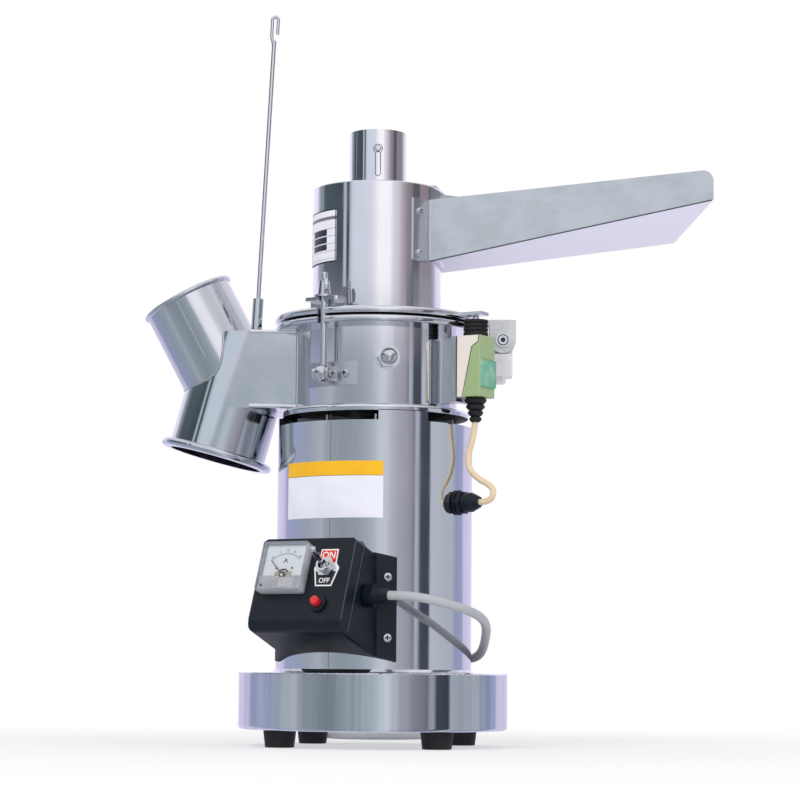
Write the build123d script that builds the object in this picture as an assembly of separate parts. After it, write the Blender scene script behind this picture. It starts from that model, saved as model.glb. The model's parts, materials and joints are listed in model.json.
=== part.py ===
from build123d import *
import math
import os

# Analytical lab mill: a swing-hammer mill on a vertical motor, with a feed chute, two outlet
# spouts, a clamped and hinged lid, a safety switch and a control box.
# Millimetres, +Z up. The origin is on the rotor's axis, on the plane that the feet stand on.
# The front is -Y. An azimuth is measured from the front towards +X, in degrees. What belongs
# at an azimuth is modelled at the front and turned into place.

# --- driving dimensions -------------------------------------------------------------------
FIT = 0.05  # gap round a pressed or screwed piece of the same body
RUN = 0.08  # radial clearance of a running or sliding fit
FREE = 0.3  # gap between pieces that move past each other

FOOT_HEIGHT = 15.0
FOOT_TOP_R = 14.5
FOOT_FLOOR_R = 12.7
FOOT_CIRCLE_R = 98.0
FOOT_AZIMUTH = 34.4
FOOT_BORE_R = 5.6
FOOT_SEAT = 7.0
FOOT_SCREW_R = 3.0
FOOT_SCREW_HEAD = 3.2

BASE_R = 120.0
BASE_HEIGHT = 50.0
BASE_WELL_R = 80.0
BASE_FLOOR = 12.0
BEARING_R = 23.5
BEARING_WIDTH = 14.0
BEARING_LIP = 6.5

HOUSING_R = 87.5
HOUSING_WALL = 2.0
HOUSING_HEIGHT = 228.0
TOP_RING_R = 78.0
TOP_RING_HEIGHT = 12.0
VENT_HEIGHT = 8.5
PILLAR_AZIMUTH = 16.7
PILLAR_ANGLE = 30.0
VENTS = 3

JOURNAL_R = 10.0
SHAFT_R = 14.0
ROTOR_CORE_R = 45.5
AIR_GAP = 0.4
CORE_HEIGHT = 90.0
CORE_LIFT = 30.0
WINDING_HEIGHT = 17.0
FAN_R = 74.0
FAN_BLADES = 10
FAN_HEIGHT = 8.5
PLATE_THICK = 8.0
AIR_HOLES = 6
AIR_HOLE_R = 9.0

CHAMBER_R = 73.0
CHAMBER_WALL = 2.5
CHAMBER_HEIGHT = 84.0
FLOOR_EDGE = 11.0
FLOOR_THICK = 6.5
RIM_WIDTH = 18.0
RIM_THICK = 6.0
SEAL_R = 18.0
GASKET_INSET = 1.0
GASKET_WIDTH = 5.5
GASKET_THICK = 1.5

LINER_THICK = 3.6
LINER_TOOTH = 1.6
LINER_TEETH = 44
SIEVE_THICK = 1.6
SIEVE_SLOT = 2.4
SIEVE_SLOTS = 13
STUD_AZIMUTH = 8.0
STUD_LIFT = 48.0
STUD_R = 5.0
CAP_NUT_R = 9.6
CAP_NUT_LENGTH = 12.0

HAMMERS = 3
PIN_CIRCLE_R = 32.0
HAMMER_PIN_R = 4.0
HAMMER_GAP = 4.6
HAMMER_WIDTH = 21.0
HAMMER_HEIGHT = 26.0
DISC_R = 42.0
DISC_THICK = 5.0
DISC_LIFT = 4.5
HUB_R = 17.0

DUCT_FAR_INSET = 1.9
DUCT_WIDTH = 88.2
DUCT_WALL = 2.0
DUCT_HEIGHT = 70.0
WINDOW_START = -159.0
WINDOW_END = -78.0

SPOUT_REACH = 56.0
SPOUT_JOINT_DROP = 50.0
SPOUT_WALL = 2.0
UPPER_LEAN = 27.9
UPPER_R = 41.0
UPPER_LENGTH = 97.5
UPPER_RIM_R = 43.3
UPPER_RIM_LAND = 4.6
LOWER_LEAN = 15.0
LOWER_R = 44.0
LOWER_LENGTH = 65.2
LOWER_RIM_R = 51.3
LOWER_RIM_LAND = 7.0

ROD_R = 2.0
ROD_RISE = 294.0
ROD_LEAN = 2.67
ROD_EYE = 25.0
SOCKET_OUT = 35.6
SOCKET_Y = -8.0
SOCKET_R = 4.85
SOCKET_HEIGHT = 30.0

CLAMP_AZIMUTHS = (-33.0, 147.0)
BOLT_STAND_OFF = 11.8
BOLT_R = 3.0
BOLT_PIVOT_DROP = 45.0
BOLT_LENGTH = 90.0
EYE_R = 8.75
EYE_WIDTH = 10.0
PIVOT_R = 2.5
EAR_THICK = 2.5
EAR_R = 6.5
STRAP_ANGLE = 20.0
STRAP_THICK = 2.5
STRAP_HEIGHT = 21.0
STRAP_SCREW_R = 1.9
STRAP_SCREW_ARC = 15.0
NOTCH_WIDTH = 8.0
NOTCH_BEHIND = 4.3
LUG_WIDTH = 36.0
LUG_THICK = 3.1
LUG_BEHIND = 8.3
LUG_BEYOND = 6.0
LUG_LIFT = 5.8
LUG_SLOT = 6.6
WASHER_R = 9.0
WASHER_THICK = 1.6
NUT_BOSS_R = 5.5
NUT_HEIGHT = 12.5
WING_R = 6.5
WING_SPAN = 32.0
WING_THICK = 2.6
WING_TURNS = (-50.0, 0.0)

LID_OVERHANG = 0.5
LID_THICK = 6.2
LID_HOLE_R = 40.0
HOOD_R = 58.5
HOOD_WALL = 2.0
HOOD_HEIGHT = 117.3
HOOD_FOOT_R = 60.3
NECK_WALL = 1.7
NECK_HEIGHT = 50.0

SLEEVE_R = 26.0
SLEEVE_WALL = 1.5
SLEEVE_HEIGHT = 52.7
SLEEVE_TRAVEL = 16.0
KEYHOLE_LIFT = 35.0
KEYHOLE_R = 3.0
GUIDE_NECK_R = 1.4
GUIDE_HEAD_R = 2.6

CHUTE_NEAR_WIDTH = 76.0
CHUTE_FAR_WIDTH = 215.0
CHUTE_MOUTH_X = 46.0
CHUTE_REACH = 288.0
CHUTE_SKEW = 2.45
CHUTE_NEAR_LIFT = 47.3
CHUTE_FAR_LIFT = 91.8
CHUTE_NEAR_WALL = 56.0
CHUTE_FAR_WALL = 27.5
CHUTE_SHEET = 1.5
CHUTE_CORNER_R = 10.0
FLANGE_ANGLE = 17.0
FLANGE_SCREW_ANGLE = 39.1
FLANGE_SCREW_LIFTS = (53.5, 91.0)
FLANGE_SCREW_R = 1.9
FIN_RISE = 28.0
FIN_RUN = 18.0

HINGE_OUT = 22.9
HINGE_DROP = 12.0
HINGE_PIN_R = 3.0
EAR_ROUND_R = 11.8
EAR_TOP = 18.6
CHEEK_OUT = 12.0
TONGUE_OUT = 5.7
TONGUE_R = 9.5
BLOCK_WIDTH = 18.0
BLOCK_DROP = 32.5

SWITCH_AZIMUTH = 59.0
SWITCH_STAND_OFF = 18.0
SWITCH_DEPTH = 24.0
SWITCH_WIDTH = 28.0
SWITCH_HEIGHT = 54.0
SWITCH_BELOW_RIM = 15.0
SEAM_HEAD = 22.4
SEAM_TOP = 15.5
SEAM_DROP = 10.0
SEAM_FOOT = 6.0
BRACKET_PLATE = 6.0
BRACKET_WEB = 12.0
HEAD_IN = 12.0
HEAD_R = 11.0
HEAD_HEIGHT = 15.0
PLUNGER_R = 3.0
TAB_WIDTH = 14.0
TAB_THICK = 3.0
TAB_IN = 21.0
BELLOWS_IN = 12.0
BELLOWS_R = 9.8
BELLOWS_TIP_R = 5.4
BELLOWS_LENGTH = 22.0
BELLOWS_FOLDS = 4

CABLE_R = 2.75
CABLE_GLAND_AZIMUTH = 56.5
CABLE_GLAND_DROP = 78.0
CABLE_GLAND_R = 11.0
CABLE_GLAND_LENGTH = 23.0
GLAND_THREAD_R = 8.0

BOX_AZIMUTH = -30.0
BOX_TILT = 20.0
BOX_STAND_OFF = 35.5
BOX_LIFT = 79.3
BOX_DEPTH = 80.0
BOX_TAPER_DEPTH = 60.0
BOX_HALF_WIDTH = 46.0
BOX_BACK_HALF_WIDTH = 48.0
BOX_UP = 38.0
BOX_DOWN = 46.0
BOX_WALL = 3.0
COVER_DEPTH = 14.0
BOX_CHIN_R = 9.0
WING_ANGLE = 42.5
WING_PLATE = 3.5
WING_SCREW_ANGLE = 37.3
WING_SCREW_LIFTS = (30.2, 82.4)
WING_SCREW_R = 2.1

METER_U = -17.7
METER_V = 9.2
METER_SIDE = 45.0
METER_DEPTH = 10.5
METER_WALL = 1.5
DIAL_W = 4.0
DRUM_R = 19.0
DRUM_DEPTH = 18.0
NEEDLE_DROP = 7.2
NEEDLE_LENGTH = 20.0
NEEDLE_REST = 45.0
METER_PIN_R = 1.2

TOGGLE_U = 22.4
TOGGLE_V = 10.4
BUSHING_R = 6.0
BUSHING_OUT = 9.0
TOGGLE_BALL_R = 3.7
TOGGLE_PIVOT = 4.6
TOGGLE_REST = 13.6
TOGGLE_LENGTH = 23.0
RESET_U = 21.0
RESET_V = -22.2
RESET_R = 4.0
RESET_OUT = 9.0
COLLAR_R = 8.0
RESET_TRAVEL = 2.5

GLAND_STAND_OFF = 6.5
GLAND_LIFT = 66.0
GLAND_R = 10.0
GLAND_LENGTH = 21.0
CORD_R = 4.0
COIL_X = 0.0
COIL_Y = 272.0
COIL_MEAN_R = 44.0
COIL_WIDTH = 25.0
COIL_HEIGHT = 16.5
PLUG_LENGTH = 40.0
PLUG_HEIGHT = 22.0

# --- levels and places worked out from them -----------------------------------------------
BASE_TOP = FOOT_HEIGHT + BASE_HEIGHT
WELL_FLOOR = FOOT_HEIGHT + BASE_FLOOR
HOUSING_TOP = BASE_TOP + HOUSING_HEIGHT
PLATE_TOP = HOUSING_TOP - TOP_RING_HEIGHT
CHAMBER_FLOOR = HOUSING_TOP + FLOOR_THICK
RIM_TOP = HOUSING_TOP + CHAMBER_HEIGHT
RIM_LOW = RIM_TOP - RIM_THICK
LID_LOW = RIM_TOP + GASKET_THICK
LID_TOP = LID_LOW + LID_THICK
HOOD_TOP = LID_TOP + HOOD_HEIGHT
FLOOR_R = CHAMBER_R + FLOOR_EDGE
RIM_R = CHAMBER_R + RIM_WIDTH
GASKET_IN_R = CHAMBER_R + GASKET_INSET
GASKET_OUT_R = GASKET_IN_R + GASKET_WIDTH
LINER_OUT_R = CHAMBER_R - CHAMBER_WALL - FREE
LINER_LOW = CHAMBER_FLOOR + FREE
LINER_TOP = RIM_TOP - 7.0
LINER_START = WINDOW_END + 2.5
LINER_END = WINDOW_START + 357.5
HAMMER_REACH = LINER_OUT_R - LINER_THICK - HAMMER_GAP - PIN_CIRCLE_R
BOLT_CIRCLE_R = CHAMBER_R + BOLT_STAND_OFF
BOLT_PIVOT = RIM_LOW - BOLT_PIVOT_DROP
NOTCH_IN_R = BOLT_CIRCLE_R - NOTCH_BEHIND
LUG_IN_R = BOLT_CIRCLE_R - LUG_BEHIND
LUG_OUT_R = BOLT_CIRCLE_R + LUG_BEYOND
LUG_LOW = LID_TOP + LUG_LIFT
WASHER_LOW = LUG_LOW + LUG_THICK + FREE
NUT_LOW = WASHER_LOW + WASHER_THICK
DUCT_FAR_Y = CHAMBER_R - DUCT_FAR_INSET
DUCT_NEAR_Y = DUCT_FAR_Y - DUCT_WIDTH
DUCT_TOP = RIM_LOW
DUCT_LOW = DUCT_TOP - DUCT_HEIGHT
SPOUT_Y = (DUCT_NEAR_Y + DUCT_FAR_Y) / 2
SPOUT_JOINT = (-CHAMBER_R - SPOUT_REACH, SPOUT_Y, DUCT_TOP - SPOUT_JOINT_DROP)
SOCKET_X = -CHAMBER_R - SOCKET_OUT
ROD_TOP = DUCT_TOP + ROD_RISE
SLEEVE_LOW = HOOD_TOP + FREE
SLEEVE_IN_R = SLEEVE_R - SLEEVE_WALL
NECK_R = SLEEVE_IN_R - FREE
KEYHOLE_Z = HOOD_TOP + KEYHOLE_LIFT
DISC_LOW = CHAMBER_FLOOR + DISC_LIFT
HAMMER_LOW = DISC_LOW + DISC_THICK + FREE
UPPER_DISC = HAMMER_LOW + HAMMER_HEIGHT + FREE
DISC_TOP = UPPER_DISC + DISC_THICK
LID_R = RIM_R + LID_OVERHANG
HINGE_X = LID_R + HINGE_OUT
HINGE_Z = RIM_TOP - HINGE_DROP
SWITCH_IN = CHAMBER_R + SWITCH_STAND_OFF
SWITCH_OUT = SWITCH_IN + SWITCH_DEPTH
SWITCH_HIGH = RIM_TOP - SWITCH_BELOW_RIM
SWITCH_LOW = SWITCH_HIGH - SWITCH_HEIGHT
HEAD_RHO = SWITCH_IN + HEAD_IN
TAB_OUT = SWITCH_IN + TAB_IN
BELLOWS_RHO = SWITCH_IN + BELLOWS_IN
CABLE_GLAND_OUT = HOUSING_R + CABLE_GLAND_LENGTH
CABLE_GLAND_Z = HOUSING_TOP - CABLE_GLAND_DROP
BOX_RHO = HOUSING_R + BOX_STAND_OFF
BOX_Z = BASE_TOP + BOX_LIFT
WING_SCREW_ZS = [BASE_TOP + lift for lift in WING_SCREW_LIFTS]
GLAND_RHO = HOUSING_R + GLAND_STAND_OFF
GLAND_Z = BASE_TOP + GLAND_LIFT
PANEL = Plane(
    origin=(0, -BOX_RHO, BOX_Z),
    x_dir=(1, 0, 0),
    z_dir=(0, -math.cos(math.radians(BOX_TILT)), math.sin(math.radians(BOX_TILT))),
)

# Free cord, from the gland to the coil, chosen point by point.
CORD_ROUTE = [
    (30.0, -125.9, 131.0),
    (57.0, -131.0, 126.0),
    (86.0, -119.0, 113.5),
    (103.0, -88.0, 99.0),
    (108.0, -42.0, 82.0),
    (106.0, 2.0, 72.0),
    (95.0, 44.0, 70.0),
    (72.0, 78.0, 72.0),
    (42.0, 104.0, 79.0),
    (12.0, 126.0, 76.0),
    (-14.0, 144.0, 54.0),
    (-32.0, 160.0, 28.0),
    (-46.0, 184.0, 9.0),
    (-53.0, 214.0, 4.4),
    (-52.0, 245.0, 4.4),
    (-52.0, 266.0, 4.4),
]

# Switch cable, as distance from the housing, azimuth and height above its gland.
CABLE_ROUTE = [
    (13.0, 59.0, 56.0),
    (8.3, 58.5, 41.0),
    (11.0, 58.0, 28.5),
    (20.5, 57.6, 20.5),
    (30.0, 57.2, 16.0),
    (36.5, 57.0, 11.0),
    (36.0, 56.7, 3.5),
    (29.5, 56.5, 0.0),
]


# --- helpers ------------------------------------------------------------------------------
def turned(azimuth, shape):
    """A shape modelled at the front, turned to its azimuth."""
    return Rot(0, 0, azimuth) * shape


def outward(azimuth, rho, z, shape):
    """A shape whose +Z points away from the axis, with its origin at radius rho."""
    return turned(azimuth, Pos(0, -rho, z) * Rot(90, 0, 0) * shape)


def column(radius, low, high):
    """An upright cylinder on the axis."""
    return Pos(0, 0, (low + high) / 2) * Cylinder(radius, high - low)


def ring(outer, inner, low, high):
    """An upright tube on the axis."""
    return column(outer, low, high) - column(inner, low - 1, high + 1)


def sector(inner, outer, low, high, start, end):
    """Part of a tube on the axis, between two azimuths."""
    corners = [(inner, low), (outer, low), (outer, high), (inner, high)]
    profile = Plane.XZ * Polygon(*corners, align=None)
    return Rot(0, 0, start - 90) * revolve(profile, Axis.Z, revolution_arc=end - start)


def spun(points):
    """A closed (radius, height) outline turned about +Z."""
    return revolve(Plane.XZ * Polygon(*points, align=None), Axis.Z)


def block(x, y, z):
    """A box between three pairs of limits."""
    size = (x[1] - x[0], y[1] - y[0], z[1] - z[0])
    middle = ((x[0] + x[1]) / 2, (y[0] + y[1]) / 2, (z[0] + z[1]) / 2)
    return Pos(*middle) * Box(*size)


def rod(start, direction, radius, length):
    """A cylinder from a point along a direction."""
    return extrude(Plane(origin=start, z_dir=direction) * Circle(radius), amount=length)


def hexagon(flats, height):
    """A hexagonal prism from the ground plane up."""
    return extrude(RegularPolygon(flats / 2, 6, major_radius=False), amount=height)


def pan_screw(head_r, head_height, shank_r, length):
    """A cross-recessed pan head above the ground plane, with its shank below."""
    head = Pos(0, 0, head_height / 2) * Cylinder(head_r, head_height)
    head = fillet(head.edges().sort_by(Axis.Z)[-1], head_height * 0.6)
    arm = head_r * 1.1
    recess = Box(arm, head_r * 0.3, head_height) + Box(head_r * 0.3, arm, head_height)
    shank = Pos(0, 0, -length / 2) * Cylinder(shank_r, length)
    return head + shank - Pos(0, 0, head_height) * recess


def panel_piece(shape):
    """A shape in the panel's own (right, up, out) axes, put on the tilted panel."""
    return turned(BOX_AZIMUTH, PANEL.location * shape)


def joined(shapes):
    """Separate solids that share one node."""
    return Compound(children=[solid for shape in shapes for solid in shape.solids()])


# --- feet and base ------------------------------------------------------------------------
def at_feet(shape):
    """Four copies of a shape, one at each foot."""
    places = [FOOT_AZIMUTH + quarter * 90 for quarter in range(4)]
    return [turned(place, Pos(0, -FOOT_CIRCLE_R, 0) * shape) for place in places]


def rubber_feet():
    foot = Pos(0, 0, FOOT_HEIGHT / 2) * Cone(FOOT_FLOOR_R, FOOT_TOP_R, FOOT_HEIGHT)
    foot = fillet(foot.edges().sort_by(Axis.Z)[0], 1.0)
    foot -= column(FOOT_BORE_R, -1, FOOT_SEAT)
    foot -= column(FOOT_SCREW_R + FIT, 0, FOOT_HEIGHT + 1)
    return joined(at_feet(foot))


def foot_screws():
    screw = pan_screw(FOOT_BORE_R - FREE, FOOT_SCREW_HEAD, FOOT_SCREW_R, 16.0)
    return joined(at_feet(Pos(0, 0, FOOT_SEAT) * Rot(180, 0, 0) * screw))


def base():
    body = column(BASE_R, FOOT_HEIGHT, BASE_TOP)
    body = fillet(body.edges().group_by(Axis.Z)[-1], 1.2)
    body = fillet(body.edges().group_by(Axis.Z)[0], 3.0)
    body -= column(BASE_WELL_R, WELL_FLOOR, BASE_TOP + 1)
    body += column(BEARING_R + BEARING_LIP, WELL_FLOOR - 1, WELL_FLOOR + BEARING_WIDTH)
    body -= column(BEARING_R, WELL_FLOOR, BASE_TOP)
    spigot_r = HOUSING_R - HOUSING_WALL - FIT
    body += ring(spigot_r, BASE_WELL_R, BASE_TOP - 1, BASE_TOP + 4)
    bead_r = HOUSING_R + FIT
    body += spun([(bead_r, BASE_TOP - 1), (bead_r + 3.5, BASE_TOP - 1), (bead_r + 3.5, BASE_TOP),
                  (bead_r + 1.2, BASE_TOP + 1.0), (bead_r, BASE_TOP + 3.2)])
    for hole in at_feet(column(FOOT_SCREW_R + FIT, FOOT_HEIGHT - 1, FOOT_HEIGHT + 9)):
        body -= hole
    return body


# --- motor --------------------------------------------------------------------------------
def vent_starts():
    """The azimuth where each vent begins, past a pillar."""
    pitch = 360 / VENTS
    return [PILLAR_AZIMUTH + PILLAR_ANGLE / 2 + n * pitch for n in range(VENTS)]


def motor_housing():
    shell = ring(HOUSING_R, HOUSING_R - HOUSING_WALL, BASE_TOP, HOUSING_TOP)
    shell += ring(HOUSING_R - HOUSING_WALL / 2, TOP_RING_R, PLATE_TOP, HOUSING_TOP)
    vent_low = HOUSING_TOP - VENT_HEIGHT
    for start in vent_starts():
        end = start + 360 / VENTS - PILLAR_ANGLE
        shell -= sector(TOP_RING_R - 5, HOUSING_R + 5, vent_low, HOUSING_TOP + 5, start, end)
    drill = Cylinder(WING_SCREW_R + FIT, 12)
    for turn, z in wing_screw_places():
        shell -= outward(turn, HOUSING_R, z, drill)
    shell -= outward(CABLE_GLAND_AZIMUTH, HOUSING_R, CABLE_GLAND_Z, Cylinder(GLAND_THREAD_R + FIT, 12))
    return shell


def core_low():
    return BASE_TOP + CORE_LIFT


def stator():
    low = core_low()
    high = low + CORE_HEIGHT
    bore = ROTOR_CORE_R + AIR_GAP
    core = ring(HOUSING_R - HOUSING_WALL - 2 * FIT, bore, low, high)
    for foot, lift in ((low - WINDING_HEIGHT, 1), (high, 0)):
        turns = ring(bore + 25, bore + 5, foot, foot + WINDING_HEIGHT)
        turns = fillet(turns.edges().group_by(Axis.Z)[0 if lift else -1], 4.0)
        core += turns
    return core


def motor_rotor():
    low = core_low()
    high = low + CORE_HEIGHT
    shoulder_low = WELL_FLOOR + BEARING_WIDTH + FREE
    shoulder_high = bearing_seat() - FREE
    shaft = column(JOURNAL_R, WELL_FLOOR + 2 * FREE, DISC_TOP + 9)
    shaft += column(SHAFT_R, shoulder_low, shoulder_high)
    shaft += column(ROTOR_CORE_R, low, high)
    for foot in (low - 7, high):
        shaft += ring(ROTOR_CORE_R - 1, ROTOR_CORE_R - 16, foot, foot + 7)
    return shaft


def bearing_seat():
    """The height of the upper bearing's lower face."""
    return PLATE_TOP - BEARING_WIDTH - 3.0


def bearings():
    groove = ring(BEARING_R - 5, JOURNAL_R + 4, -1, 0.8)
    race = ring(BEARING_R - FIT, JOURNAL_R + FIT, 0, BEARING_WIDTH - FREE) - groove
    race -= Pos(0, 0, BEARING_WIDTH - FREE - 0.4) * groove
    return joined([Pos(0, 0, WELL_FLOOR) * race, Pos(0, 0, bearing_seat() + FREE) * race])


def bearing_plate():
    plate = column(HOUSING_R - HOUSING_WALL - FIT, PLATE_TOP - PLATE_THICK, PLATE_TOP)
    plate += column(BEARING_R + BEARING_LIP, bearing_seat() - 3.0, PLATE_TOP)
    plate -= column(BEARING_R, bearing_seat(), PLATE_TOP + 1)
    plate -= column(SHAFT_R + 1.5, 0, HOUSING_TOP)
    middle = (BEARING_R + BEARING_LIP + HOUSING_R) / 2
    for n in range(AIR_HOLES):
        hole = Pos(0, -middle, 0) * column(AIR_HOLE_R, 0, HOUSING_TOP)
        plate -= turned(n * 360 / AIR_HOLES, hole)
    return plate


def cooling_fan():
    low = PLATE_TOP + 1.5
    fan = column(FAN_R, low, low + 1.8) + column(JOURNAL_R + 6, low, low + FAN_HEIGHT)
    blade = block((-0.9, 0.9), (-FAN_R + 1, -FAN_R + 34), (low + 1, low + FAN_HEIGHT))
    for n in range(FAN_BLADES):
        fan += turned(n * 360 / FAN_BLADES, blade)
    return fan - column(JOURNAL_R + FIT, low - 1, HOUSING_TOP + 9)


# --- mill chamber -------------------------------------------------------------------------
def chamber():
    wall_in = CHAMBER_R - CHAMBER_WALL
    floor = column(FLOOR_R, HOUSING_TOP, CHAMBER_FLOOR)
    floor = fillet(floor.edges().group_by(Axis.Z)[-1], 3.0)
    floor = fillet(floor.edges().group_by(Axis.Z)[0], 1.0)
    rim = column(RIM_R, RIM_LOW, RIM_TOP)
    rim = fillet(rim.edges(), 2.4)
    body = floor + rim + column(CHAMBER_R, CHAMBER_FLOOR - 1, RIM_LOW + 1)
    body -= column(wall_in, CHAMBER_FLOOR, RIM_TOP + 1)
    body -= column(SEAL_R + FIT, HOUSING_TOP - 1, RIM_TOP)
    window_low = DUCT_LOW + DUCT_WALL
    window_high = DUCT_TOP - DUCT_WALL
    body -= sector(wall_in - 5, CHAMBER_R + 5, window_low, window_high, WINDOW_START, WINDOW_END)
    half = NOTCH_WIDTH / 2
    notch = block((-half, half), (-RIM_R - 5, -NOTCH_IN_R), (RIM_LOW - 5, RIM_TOP + 5))
    for place in CLAMP_AZIMUTHS:
        body -= turned(place, notch)
    for turn, z in strap_screw_places():
        body -= outward(turn, CHAMBER_R, z, Cylinder(STRAP_SCREW_R + FIT, 12))
    stud_hole = Cylinder(STUD_R + FIT, 20)
    body -= outward(STUD_AZIMUTH, CHAMBER_R, HOUSING_TOP + STUD_LIFT, stud_hole)
    return body


def shaft_seal():
    low = HOUSING_TOP + 1.0
    seal = ring(SEAL_R, JOURNAL_R + FREE, low, CHAMBER_FLOOR)
    return seal + ring(JOURNAL_R + 4, JOURNAL_R + FREE, low, CHAMBER_FLOOR + 1.5)


def chamber_gasket():
    return ring(GASKET_OUT_R, GASKET_IN_R, RIM_TOP, LID_LOW)


def liner_ring():
    inner = LINER_OUT_R - LINER_THICK
    liner = sector(inner, LINER_OUT_R, LINER_LOW, LINER_TOP, LINER_START, LINER_END)
    tooth = Pos(0, -inner + LINER_TOOTH * 0.2, 0) * Rot(0, 0, 45) * block(
        (-LINER_TOOTH, LINER_TOOTH), (-LINER_TOOTH, LINER_TOOTH), (LINER_LOW, LINER_TOP)
    )
    pitch = (LINER_END - LINER_START) / LINER_TEETH
    stud_turn = STUD_AZIMUTH
    for n in range(LINER_TEETH):
        turn = LINER_START + (n + 0.5) * pitch
        if abs(turn - stud_turn) > pitch:
            liner -= turned(turn, tooth)
    hole = Cylinder(STUD_R + FIT, 30)
    return liner - outward(stud_turn, LINER_OUT_R, HOUSING_TOP + STUD_LIFT, hole)


def sieve_screen():
    start = WINDOW_START - 1.5
    end = WINDOW_END + 1.5
    screen = sector(LINER_OUT_R - SIEVE_THICK, LINER_OUT_R, LINER_LOW, LINER_TOP, start, end)
    pitch = (end - start) / (SIEVE_SLOTS + 1)
    slot = block((-SIEVE_SLOT / 2, SIEVE_SLOT / 2), (-CHAMBER_R, -LINER_OUT_R + 6),
                 (LINER_LOW + 8, LINER_TOP - 8))
    for n in range(SIEVE_SLOTS):
        screen -= turned(start + (n + 1) * pitch, slot)
    return screen


def liner_stud():
    z = HOUSING_TOP + STUD_LIFT
    nut_start = CHAMBER_R + 1.8
    inside = LINER_OUT_R - LINER_THICK
    stud = Pos(0, 0, (inside + nut_start) / 2) * Cylinder(STUD_R, nut_start - inside)
    washer = Pos(0, 0, nut_start - 0.8) * Cylinder(CAP_NUT_R + 1.2, 1.6)
    nut = Pos(0, 0, nut_start) * hexagon(CAP_NUT_R * 1.77, CAP_NUT_LENGTH * 0.5)
    dome_r = CAP_NUT_R * 0.8
    dome = Pos(0, 0, nut_start + CAP_NUT_LENGTH * 0.5) * Sphere(dome_r)
    dome &= Pos(0, 0, nut_start + 25) * Cylinder(CAP_NUT_R, 50)
    piece = stud + nut + dome
    piece += washer - Pos(0, 0, -1) * Cylinder(CAP_NUT_R * 2, 2 * CHAMBER_R - 2)
    return outward(STUD_AZIMUTH, 0, z, piece)


# --- outlet -------------------------------------------------------------------------------
def lean(angle, up):
    """The unit direction of a spout's axis, leaning away from the mill."""
    return (-math.sin(math.radians(angle)), 0, up * math.cos(math.radians(angle)))


def lower_axis_x(z):
    """Where the lower spout's axis is at a height."""
    return SPOUT_JOINT[0] + (z - SPOUT_JOINT[2]) * math.tan(math.radians(LOWER_LEAN))


def duct_block(inset):
    """The duct's solid form, from inside the chamber to the lower spout's axis."""
    low = DUCT_LOW + inset
    high = DUCT_TOP - inset
    outline = [(-20.0, low), (-20.0, high), (lower_axis_x(high), high), (lower_axis_x(low), low)]
    face = Plane.XZ * Polygon(*outline, align=None)
    depth = DUCT_FAR_Y - DUCT_NEAR_Y - 2 * inset
    return extrude(Pos(0, DUCT_FAR_Y - inset, 0) * face, amount=depth)


def lower_form(radius, top, reach):
    """The lower spout as a bar that runs up past the joint, cut level at a height."""
    down = Vector(*lean(LOWER_LEAN, -1))
    bar = rod(Vector(*SPOUT_JOINT) - down * 90, down, radius, reach + 90)
    return bar - block((-300, 100), (-200, 200), (top, top + 200))


def upper_form(radius, reach):
    return rod(SPOUT_JOINT, lean(UPPER_LEAN, 1), radius, reach)


def mouth_bead(direction, radius, length, rim_r, land):
    """The rolled rim at a spout's mouth."""
    start = Vector(*SPOUT_JOINT) + Vector(*direction) * (length - land)
    bead = extrude(Plane(origin=start, z_dir=direction) * Circle(rim_r), amount=land)
    return fillet(bead.edges(), min(land * 0.45, rim_r - radius - 0.2))


def outlet_duct():
    """The flat-sided duct, open to the chamber at one end and the lower spout at the other."""
    duct = duct_block(0) - duct_block(DUCT_WALL)
    duct -= block((-40, 0), (DUCT_NEAR_Y + DUCT_WALL, DUCT_FAR_Y - DUCT_WALL),
                  (DUCT_LOW + DUCT_WALL, DUCT_TOP - DUCT_WALL))
    duct -= lower_form(LOWER_R - SPOUT_WALL, DUCT_TOP - DUCT_WALL, LOWER_LENGTH)
    duct -= upper_form(UPPER_R - SPOUT_WALL, UPPER_LENGTH)
    duct -= column(CHAMBER_R + FIT, DUCT_LOW - 5, DUCT_TOP + 5)
    duct = duct.solids().sort_by(SortBy.VOLUME)[-1]
    place = (SOCKET_X, SOCKET_Y, DUCT_TOP - 1)
    tilt = (math.sin(math.radians(ROD_LEAN)), 0, math.cos(math.radians(ROD_LEAN)))
    duct += rod(place, tilt, SOCKET_R, SOCKET_HEIGHT + 1)
    bore = (SOCKET_X + tilt[0] * 4, SOCKET_Y, DUCT_TOP - 1 + tilt[2] * 4)
    return duct - rod(bore, tilt, ROD_R + RUN, SOCKET_HEIGHT)


def lower_spout():
    """The product pipe, which the duct's sides meet at a tangent and the upper pipe enters."""
    pipe = lower_form(LOWER_R, DUCT_TOP, LOWER_LENGTH)
    pipe += mouth_bead(lean(LOWER_LEAN, -1), LOWER_R, LOWER_LENGTH, LOWER_RIM_R, LOWER_RIM_LAND)
    pipe -= lower_form(LOWER_R - SPOUT_WALL, DUCT_TOP - DUCT_WALL, LOWER_LENGTH + 5)
    pipe -= duct_block(0)
    pipe -= upper_form(UPPER_R - SPOUT_WALL, UPPER_LENGTH)
    return pipe.solids().sort_by(SortBy.VOLUME)[-1]


def upper_spout():
    """The dust pipe, which stands on the lower pipe and on the duct's top."""
    pipe = upper_form(UPPER_R, UPPER_LENGTH)
    pipe += mouth_bead(lean(UPPER_LEAN, 1), UPPER_R, UPPER_LENGTH, UPPER_RIM_R, UPPER_RIM_LAND)
    pipe -= upper_form(UPPER_R - SPOUT_WALL, UPPER_LENGTH + 5)
    pipe -= lower_form(LOWER_R, DUCT_TOP, LOWER_LENGTH)
    pipe -= duct_block(0)
    return pipe.solids().sort_by(SortBy.VOLUME)[-1]


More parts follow.
